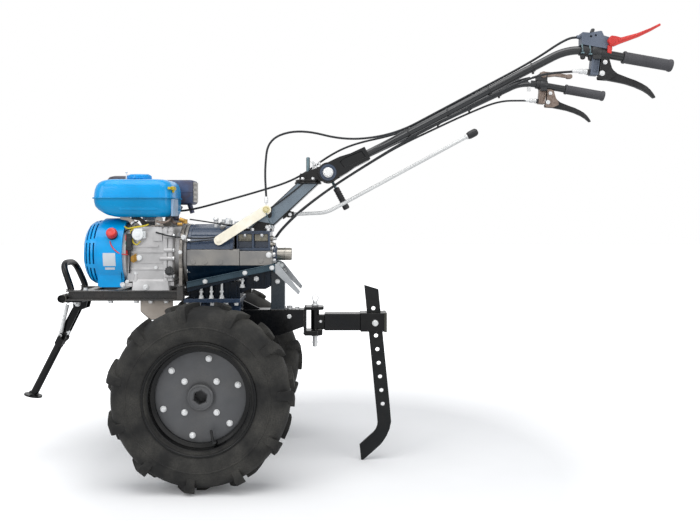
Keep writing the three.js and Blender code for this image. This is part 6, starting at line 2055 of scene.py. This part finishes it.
@dataclass
class Linkage:
    """Gear shift rod and the clutch release arm."""

    arm_foot: tuple[float, float] = (-25.0, 738.0)
    arm_head: tuple[float, float] = (-178.0, 837.0)
    arm_y: float = 100.0

    def rod(self) -> None:
        """The bent shift rod with its nut and knob."""
        corners = [(-240.0, 0, 822), (-371, 0, 828), (-846, 0, 1085)]
        Shape().sweep(even(bent(corners, 25, 8), 40), 6, 24).finish(
            "shift_rod_bar", ROD, smooth=50, replaces=["shift_rod"])
        start, end = Vector((-843, 0, 1083.5)), Vector((-878, 0, 1102.4))
        way = (end - start).normalized()
        loop = [(0, 0), (8, 0), (11, 3), (13, 10), (13, 28), (12, 34), (8, 38.6), (0, 39.6)]
        Shape().lathe(loop, start, way, 36, closed=False).finish(
            "shift_rod_knob", GRIP_BLACK, smooth=40, replaces=["shift_knob"])
        Shape().lathe([(0, -4), (8.4, -4), (8.4, 1), (0, 1)], start, way, 28, closed=False).finish(
            "knob_nut", BRIGHT, bevel=0.4)

    def arm(self) -> None:
        """The cream release arm with its bolts, boss, spring and ferrule."""
        (x1, z1), (x2, z2) = self.arm_foot, self.arm_head
        slope = degrees(atan2(z2 - z1, x2 - x1))
        loop = [*arc((x1, z1), 15.5, slope + 270, slope + 90, 16), *arc((x2, z2), 15.5, slope + 90, slope - 90, 16)]
        shape = Shape().plate(loop, self.arm_y, self.arm_y + 5)
        shape.finish("release_arm", CREAM, bevel=1.0, replaces=["clutch_arm"])
        Shape().rod((x1, 60, z1), (x1, self.arm_y - 0.2, z1), 11, 10, 32).finish("arm_boss", GEARBOX, bevel=0.8)
        pin = Shape().rod((x1, self.arm_y - 2, z1), (x1, self.arm_y + 8, z1), 5, sides=24).rod(
            (x1, self.arm_y + 5, z1), (x1, self.arm_y + 6.6, z1), 8, sides=28)
        pin.finish("arm_pin", CREAM, bevel=0.5)
        head = Shape().rod((x2, self.arm_y + 4.6, z2), (x2, self.arm_y + 6.6, z2), 11.5, sides=36)
        head.bolt((x2, self.arm_y + 6.6, z2), Y, 12, 6, 0, spin=0.5)
        head.rod((x2, self.arm_y - 12, z2), (x2, self.arm_y, z2), 5, sides=20)
        head.lathe([(7.5, 6.6), (9.4, 6.6), (9.4, 7.8), (7.5, 7.8)], (x2 + 1, self.arm_y, z2), Y, 28)
        head.finish("arm_head", PLATED, bevel=0.4)
        rod_end = Shape().plate(rounded((x2 - 17, z2 - 27), (x2 + 1, z2 + 9), 8), 88, 96)
        rod_end.finish("arm_link", GLOSS_BLACK, bevel=0.8)
        wire = Shape().sweep(even([Vector((x2, 108, z2 - 10)), Vector((x2 - 8, 104, 804)),
                                   Vector((x2 - 18, 92, 779))], 8), 1.7, 10)
        wire.finish("arm_spring_wire", ZINC)
        ferrule = Shape().lathe([(0, 851), (2.2, 851), (2.2, 858), (5.2, 859), (5.6, 874), (4.4, 879), (0, 879)],
                                (x2, 102.5, 0), Z, 24, closed=False)
        ferrule.sweep([Vector((x2, 102.5, 840)), Vector((x2, 104, 848)), Vector((x2, 102.5, 856))], 1.6, 10)
        ferrule.finish("cable_ferrule", BRIGHT, bevel=0.3)

    def build(self) -> None:
        """Builds the shift rod and the clutch arm."""
        self.rod()
        self.arm()


@dataclass
class Cables:
    """Sheathed control cables, held at both ends and along the tubes.

    Each is cut in three where it crosses the swivel head and the tilt pin, and only the last piece rides on the
    handlebar.
    """

    bars: Handlebar = field(default_factory=Handlebar)
    radius: float = 3.5
    bend: float = 80.0
    head_x: float = -318.0
    bar_x: float = -520.0

    def route(self, name: str, corners: Sequence[Point], replaces: str | None) -> None:
        """Builds one cable in three pieces.

        Args:
            name: The cable's name.
            corners: Its route's corner points.
            replaces: The CAD cable that it stands for.
        """
        path = even(bent(corners, self.bend, 8), 9)
        first = next(i for i, p in enumerate(path) if p.x < self.head_x)
        second = next(i for i, p in enumerate(path) if p.x < self.bar_x)
        pieces = [
            ("low", path[: first + 1], (Body.CHASSIS, Body.HEAD)),
            ("middle", path[first : second + 1], (Body.HEAD, Body.HANDLEBAR)),
            ("high", path[second:], None),
        ]
        for part, points, pair in pieces:
            shape = Shape().sweep(points, self.radius, 12)
            if pair is None:
                shape.finish(f"{name}_{part}", CABLE, Body.HANDLEBAR, smooth=60,
                             replaces=[replaces] if replaces else [])
            else:
                made = shape.finish(f"{name}_{part}", CABLE, None, smooth=60)
                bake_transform(made)

    def build(self) -> None:
        """Builds every cable, its ends and the loose wires on the engine."""
        beside = self.bars.beside
        self.route("clutch_line", [
            (-178, 102.5, 876), (-173, 104, 965), (-184, 102, 1066), (-286, 92, 1098), (-440, 58, 1063),
            beside(1, -600, 17), beside(1, -1000, 19), (-1090, 275, 1347), (-1129.7, 275, 1350)], "clutch_cable")
        self.route("throttle_line", [
            (236.2, -150, 835), (224, -150, 835), (206, -126, 836), (118, -116, 834), (-120, -70, 897),
            (-269, -40, 941),
            (-376, -24, 1020), (-462, -26, 1062), beside(-1, -620, 18), beside(-1, -1050, 18), (-1125, -275, 1334),
            (-1149.7, -275, 1334)], "throttle_cable")
        for side in Side:
            sign = side.value
            self.route(f"steering_line_{side.word}", [
                (-187.3, sign * 20, 742), (-200, sign * 20, 742), (-218, sign * 26, 770), (-281, sign * 40, 833),
                (-386, sign * 20, 912), (-500, sign * 22, 985), beside(sign, -620, -22), beside(sign, -860, -22),
                (-1005, sign * 250, 1243), (-1108, sign * 275, 1248), (-1146, sign * 275, 1246.4)],
                f"brake_cable_{side.word}")
            Shape().lathe([(0, 0), (7, 0), (7, 4), (5.4, 5), (5.4, 16), (0, 16)], (-186.8, sign * 20, 742), -X, 24,
                          closed=False).finish(
                f"cable_gland_{side.word}", BRIGHT, bevel=0.4)
        wires = Shape()
        wires.wire([(72, 84, 806), (30, 80, 800), (-30, 76, 790), (-70, 66, 786)], 30, 8, 2.2, 10)
        wires.wire([(180, 92, 764), (130, 96, 750), (66, 98, 745), (10, 97, 744), (-60, 92, 756), (-120, 60, 806),
                    (-160, 38, 826), (-230, 34, 872), (-296, 34, 926)], 40, 8, 2.6, 10)
        wires.wire([(84, 92, 731), (60, 98.5, 734), (20, 98.5, 738), (-6, 97, 740)], 16, 8, 2.0, 10)
        wires.finish("case_wires", CABLE, smooth=60)


# --------------------------------------------------------------------- hitch


@dataclass
class Hitch:
    """Rear beam and clevis, swinging arm with its holder, and the coulter."""

    pin_x: float = -333.0
    holder: tuple[float, float] = (-533.0, 462.0)
    tilt: float = 5.6
    step: float = 46.0

    def beam(self) -> None:
        """The beam behind the drive case, its post, clevis and bolts."""
        loop = [(-88.3, 506), (-297.5, 506), (-297.5, 450), (-232, 426), (-214, 420), (-88.3, 420)]
        shape = Shape().plate(loop, -28, 28)
        shape.plate([(-92, 506), (-150, 506), (-92, 535)], -4, 4)
        shape.block((-120, -34, 417), (-88.4, 34, 424))
        shape.finish("rear_beam", FRAME_GLOSS, bevel=1.6, replaces=["hitch_beam"])
        shape = Shape().block((-232, -30, 504), (-187, 30, 640))
        shape.block((-235, -33, 505.5), (-184, 33, 511)).block((-236, -33, 628), (-183, 33, 634))
        shape.finish("rear_post", POST, bevel=2.2)
        shape = Shape()
        shape.plate([(-298, 420), (-298, 515), (-304, 515), (-304, 420)], -32, 32)
        end = [(-298, 31), (-346, 31), *arc((-346, 15), 16, 90, 180, 6), *arc((-346, -15), 16, 180, 270, 6),
               (-298, -31)]
        shape.plate(end, 505, 515, Plane.TOP)
        shape.plate([(x + (4 if x < -340 else 0), y) for x, y in end], 420, 436, Plane.TOP)
        shape.finish("clevis", GLOSS_BLACK, bevel=1.4, replaces=["hitch_clevis"])
        beads = Shape()
        for y in (-32, 32):
            path = [Vector((-297.6 + 0.4 * sin(i), y * 0.9, 424 + i * 3.2)) for i in range(27)]
            beads.sweep(path, [2.4 + 0.4 * sin(i * 1.7) for i in range(27)], 8)
        for y in (-31, 31):
            path = [Vector((-231 + i * 3.3, y, 506.2)) for i in range(14)]
            beads.sweep(path, [2.2 + 0.4 * sin(i * 1.7) for i in range(14)], 8)
        beads.finish("hitch_welds", FRAME)
        bolts = Shape().bolt((-248, 0, 506), Z, 17, 9, 12).bolt((-274, 16, 506), Z, 13, 7, 9)
        for sign in (1, -1):
            bolts.bolt((-248, sign * 28, 484), Y * sign, 14, 7, 0).bolt((-209, sign * 30, 600), Y * sign, 13, 6, 8)
        bolts.finish("beam_bolts", BRIGHT, bevel=0.4)

    def pin(self) -> None:
        """The hitch pin with its collar, cross pin and ring clip."""
        x = self.pin_x
        shape = Shape().lathe(
            [(0, 379), (6, 379), (8, 382), (8, 515), (11.5, 515.4), (12, 517), (12, 521), (11, 522.5), (8, 523),
             (8, 531), (6.5, 533), (0, 533)], (x, 0, 0), Z, 32, closed=False)
        shape.finish("pin_body", BRIGHT, bevel=0.3, replaces=["hitch_pin"])
        ring = [Vector((x - 1 + 9.5 * sin(a), 2 + 2 * cos(a), 542 + 11.5 * cos(a)))
                for a in (radians(i * 15) for i in range(25))]
        clip = Shape().sweep(ring, 1.5, 8).rod((x, -9, 527), (x, 9, 527), 2, sides=12)
        clip.rod((x, 5, 527), (x - 4, 4, 534), 1.5, sides=8)
        clip.lathe([(8, 0), (11, 0), (11, 2), (8, 2)], (x, 0, 414), Z, 28)
        clip.rod((x - 12, 0, 394), (x + 12, 0, 394), 1.6, sides=10)
        clip.finish("pin_clip", BRIGHT)

    def arm(self) -> None:
        """The swinging arm with its barrel, neck, beam and holder."""
        x = self.pin_x
        shape = Shape().lathe([(8.4, 437), (13, 437), (14, 438), (14, 503), (13, 504), (8.4, 504)], (x, 0, 0), Z, 40)
        shape.block((-372, -12, 442.5), (-340, 12, 486.5))
        for y in (-10, 10):
            shape.block((-374, y - 2, 438), (-341, y + 2, 441.5))
        shape.finish("arm_barrel", GLOSS_BLACK, Body.ARM, bevel=1.2)
        loop = [(-364, 437.5), (-364, 491.5), (-368, 492.5), (-485, 492.5), (-485, 436.5), (-368, 436.5)]
        shape = Shape().plate(loop, -28, 28)
        shape.finish("arm_beam", FRAME_GLOSS, Body.ARM, bevel=3.0, replaces=["hitch_arm"])
        shape = Shape().block((-569, -32, 433), (-484, 32, 495))
        shape.cut(Shape().block((-562, -6.5, 420), (-504, 6.5, 510)))
        shape.finish("arm_holder", GLOSS_BLACK, Body.ARM, bevel=1.6)
        edge = Shape()
        for y in (-33.2, 33.2):
            edge.block((-571.5, y - 1.4, 432), (-563, y + 1.4, 496))
        edge.block((-571.8, -34, 432), (-568.5, 34, 496))
        edge.finish("holder_edge", HOLDER_EDGE, Body.ARM, bevel=0.8)
        bolts = Shape()
        for sign in (1, -1):
            bolts.bolt((-352, sign * 12.2, 465), Y * sign, 9, 4)
        bolts.finish("arm_bolts", BRIGHT, Body.ARM, bevel=0.3)

    def on(self, up: float, across: float) -> tuple[float, float]:
        """A point of the coulter's blade in the side plane."""
        turn = radians(self.tilt)
        x, z = self.holder
        return x + up * sin(turn) + across * cos(turn), z + up * cos(turn) - across * sin(turn)

    def coulter(self) -> None:
        """The coulter with its row of holes and curved foot, and its bolt."""
        upper = [self.on(127, 23), self.on(108, -23), self.on(-290, -23)]
        loop = [
            *upper, (-588, 128), (-583, 104), (-573, 81), (-563, 65), (-552, 51), (-523, 25), (-494, 0), (-489, -0.5),
            (-487, 2), (-484.6, 26), (-482, 51), (-505, 72), (-528, 92), (-536, 102), (-541, 114), (-542.5, 126),
            self.on(-315, 23),
        ]
        shape = Shape().plate(loop, -5, 5)
        holes = Shape()
        for i in range(-6, 2):
            if i:
                x, z = self.on(i * self.step, 0)
                holes.rod((x, -9, z), (x, 9, z), 6.9, sides=32)
        shape.cut(holes)
        shape.finish("coulter_blade", COULTER, Body.ARM, bevel=0.9, smooth=34, replaces=["coulter"])
        x, z = self.holder
        bolt = Shape()
        for sign in (1, -1):
            bolt.bolt((x, sign * 32.2, z), Y * sign, 17, 6, 10.4, spin=0.2)
            bolt.rod((x, sign * 40, z), (x, sign * 42, z), 5, sides=20)
        bolt.finish("holder_bolt", BRIGHT, Body.ARM, bevel=0.5, replaces=["coulter_bolt"])

    def build(self) -> None:
        """Builds the hitch and its tool."""
        self.beam()
        self.pin()
        self.arm()
        self.coulter()


# ------------------------------------------------------------ camera and room


@dataclass
class Studio:
    """Pale floor, white backdrop, soft lights and the camera."""

    eye: tuple[float, float, float] = (-0.0015, 2.5, 0.807)
    lens: float = 38.31
    shift: tuple[float, float] = (0.0286, -0.0593)
    floor_size: float = 40.0
    glow_reach: tuple[float, float] = (0.75, 2.0)
    floor_glow: tuple[float, float] = (0.03, 1.0)

    def floor(self) -> None:
        """Lays the plain pale floor."""
        shape = Shape()
        half = self.floor_size / 2
        bmesh.ops.create_grid(shape.bm, x_segments=1, y_segments=1, size=half)
        mesh = bpy.data.meshes.new("floor")
        shape.bm.to_mesh(mesh)
        shape.bm.free()
        sheet = NodeSheet("floor")
        speck = sheet.remap(sheet.noise(3.0, 3.0), (0.3, 0.7), (0.0, 1.0))
        colour = sheet.mix(speck, linear("#f6f6f6"), linear("#f3f3f3"))
        reach = sheet.node("ShaderNodeVectorMath", operation="LENGTH")
        sheet.tree.links.new(sheet.place, reach.inputs[0])
        glow = sheet.remap(reach.outputs["Value"], self.glow_reach, self.floor_glow)
        camera_only = sheet.times(glow, sheet.node("ShaderNodeLightPath").outputs["Is Camera Ray"])
        sheet.feed(
            sheet.shader, Base_Color=colour, Roughness=0.9, Specular_IOR_Level=0.1,
            Emission_Color=(1, 1, 1, 1), Emission_Strength=camera_only,
        )
        mesh.materials.append(sheet.material)
        show("floor", mesh)

    def lamp(self, name: str, at: Point, aim: Point, size: tuple[float, float], power: float) -> None:
        """Hangs one rectangular soft light.

        Args:
            name: The light's name.
            at: Where it hangs.
            aim: The point that it faces.
            size: Its width and height in metres.
            power: Its power in watts.
        """
        data = bpy.data.lights.new(name, "AREA")
        data.shape, data.size, data.size_y, data.energy = "RECTANGLE", *size, power
        lamp = show(name, data)
        lamp.matrix_world = Matrix.Translation(at) @ towards(Vector(at) - Vector(aim))

    def lights(self) -> None:
        """Hangs the lights over and beside the machine."""
        self.lamp("over", (0.2, 0.9, 3.2), (0, 0, 0.5), (3.2, 2.2), 62)
        self.lamp("near_side", (-0.3, 3.4, 1.1), (0, 0, 0.5), (2.6, 1.6), 9)
        self.lamp("front_side", (2.6, 2.4, 1.9), (0, 0, 0.6), (1.8, 1.8), 34)
        self.lamp("rear_side", (-2.8, 2.2, 1.6), (0, 0, 0.6), (1.6, 1.8), 22)

    def backdrop(self) -> None:
        """Sets a white background that lights the scene gently."""
        scene = bpy.context.scene
        world = bpy.data.worlds.new("studio")
        world.use_nodes = True
        tree = world.node_tree
        soft = tree.nodes["Background"]
        soft.inputs["Color"].default_value = (0.92, 0.95, 1.0, 1)
        soft.inputs["Strength"].default_value = 0.5
        white = tree.nodes.new("ShaderNodeBackground")
        white.inputs["Color"].default_value = (1, 1, 1, 1)
        path = tree.nodes.new("ShaderNodeLightPath")
        mixer = tree.nodes.new("ShaderNodeMixShader")
        seen = path.outputs["Is Camera Ray"]
        for ray in ("Is Transmission Ray", "Is Glossy Ray"):
            either = tree.nodes.new("ShaderNodeMath")
            either.operation = "MAXIMUM"
            tree.links.new(seen, either.inputs[0])
            tree.links.new(path.outputs[ray], either.inputs[1])
            seen = either.outputs[0]
        for index, output in enumerate((seen, soft.outputs[0], white.outputs[0])):
            tree.links.new(output, mixer.inputs[index])
        tree.links.new(mixer.outputs[0], tree.nodes["World Output"].inputs["Surface"])
        scene.world = world
        scene.view_settings.view_transform = "Standard"

    def camera(self) -> None:
        """Sets up the level camera at the machine's left side."""
        data = bpy.data.cameras.new("camera")
        data.lens, data.sensor_width = self.lens, 36.0
        data.shift_x, data.shift_y = self.shift
        camera = show("camera", data)
        camera.location = self.eye
        camera.rotation_euler = (pi / 2, 0, pi)
        bpy.context.scene.camera = camera

    def build(self) -> None:
        """Builds the room and the camera."""
        self.floor()
        self.lights()
        self.backdrop()
        self.camera()


def main() -> None:
    """Builds every sub-assembly in order."""
    logging.basicConfig(level=logging.INFO, format="%(name)s: %(message)s")
    parts = [
        Wheel(Side.LEFT), Wheel(Side.RIGHT), Gearbox(), FinalDrive(), EngineBlock(), FanShroud(), FuelTank(),
        EngineTop(), FrontFrame(), Stand(), Mast(), Handlebar(), Linkage(), Cables(), Hitch(), Studio(),
    ]
    for part in parts:
        log.info("building %s", type(part).__name__)
        part.build()


if __name__ == "__main__":
    main()
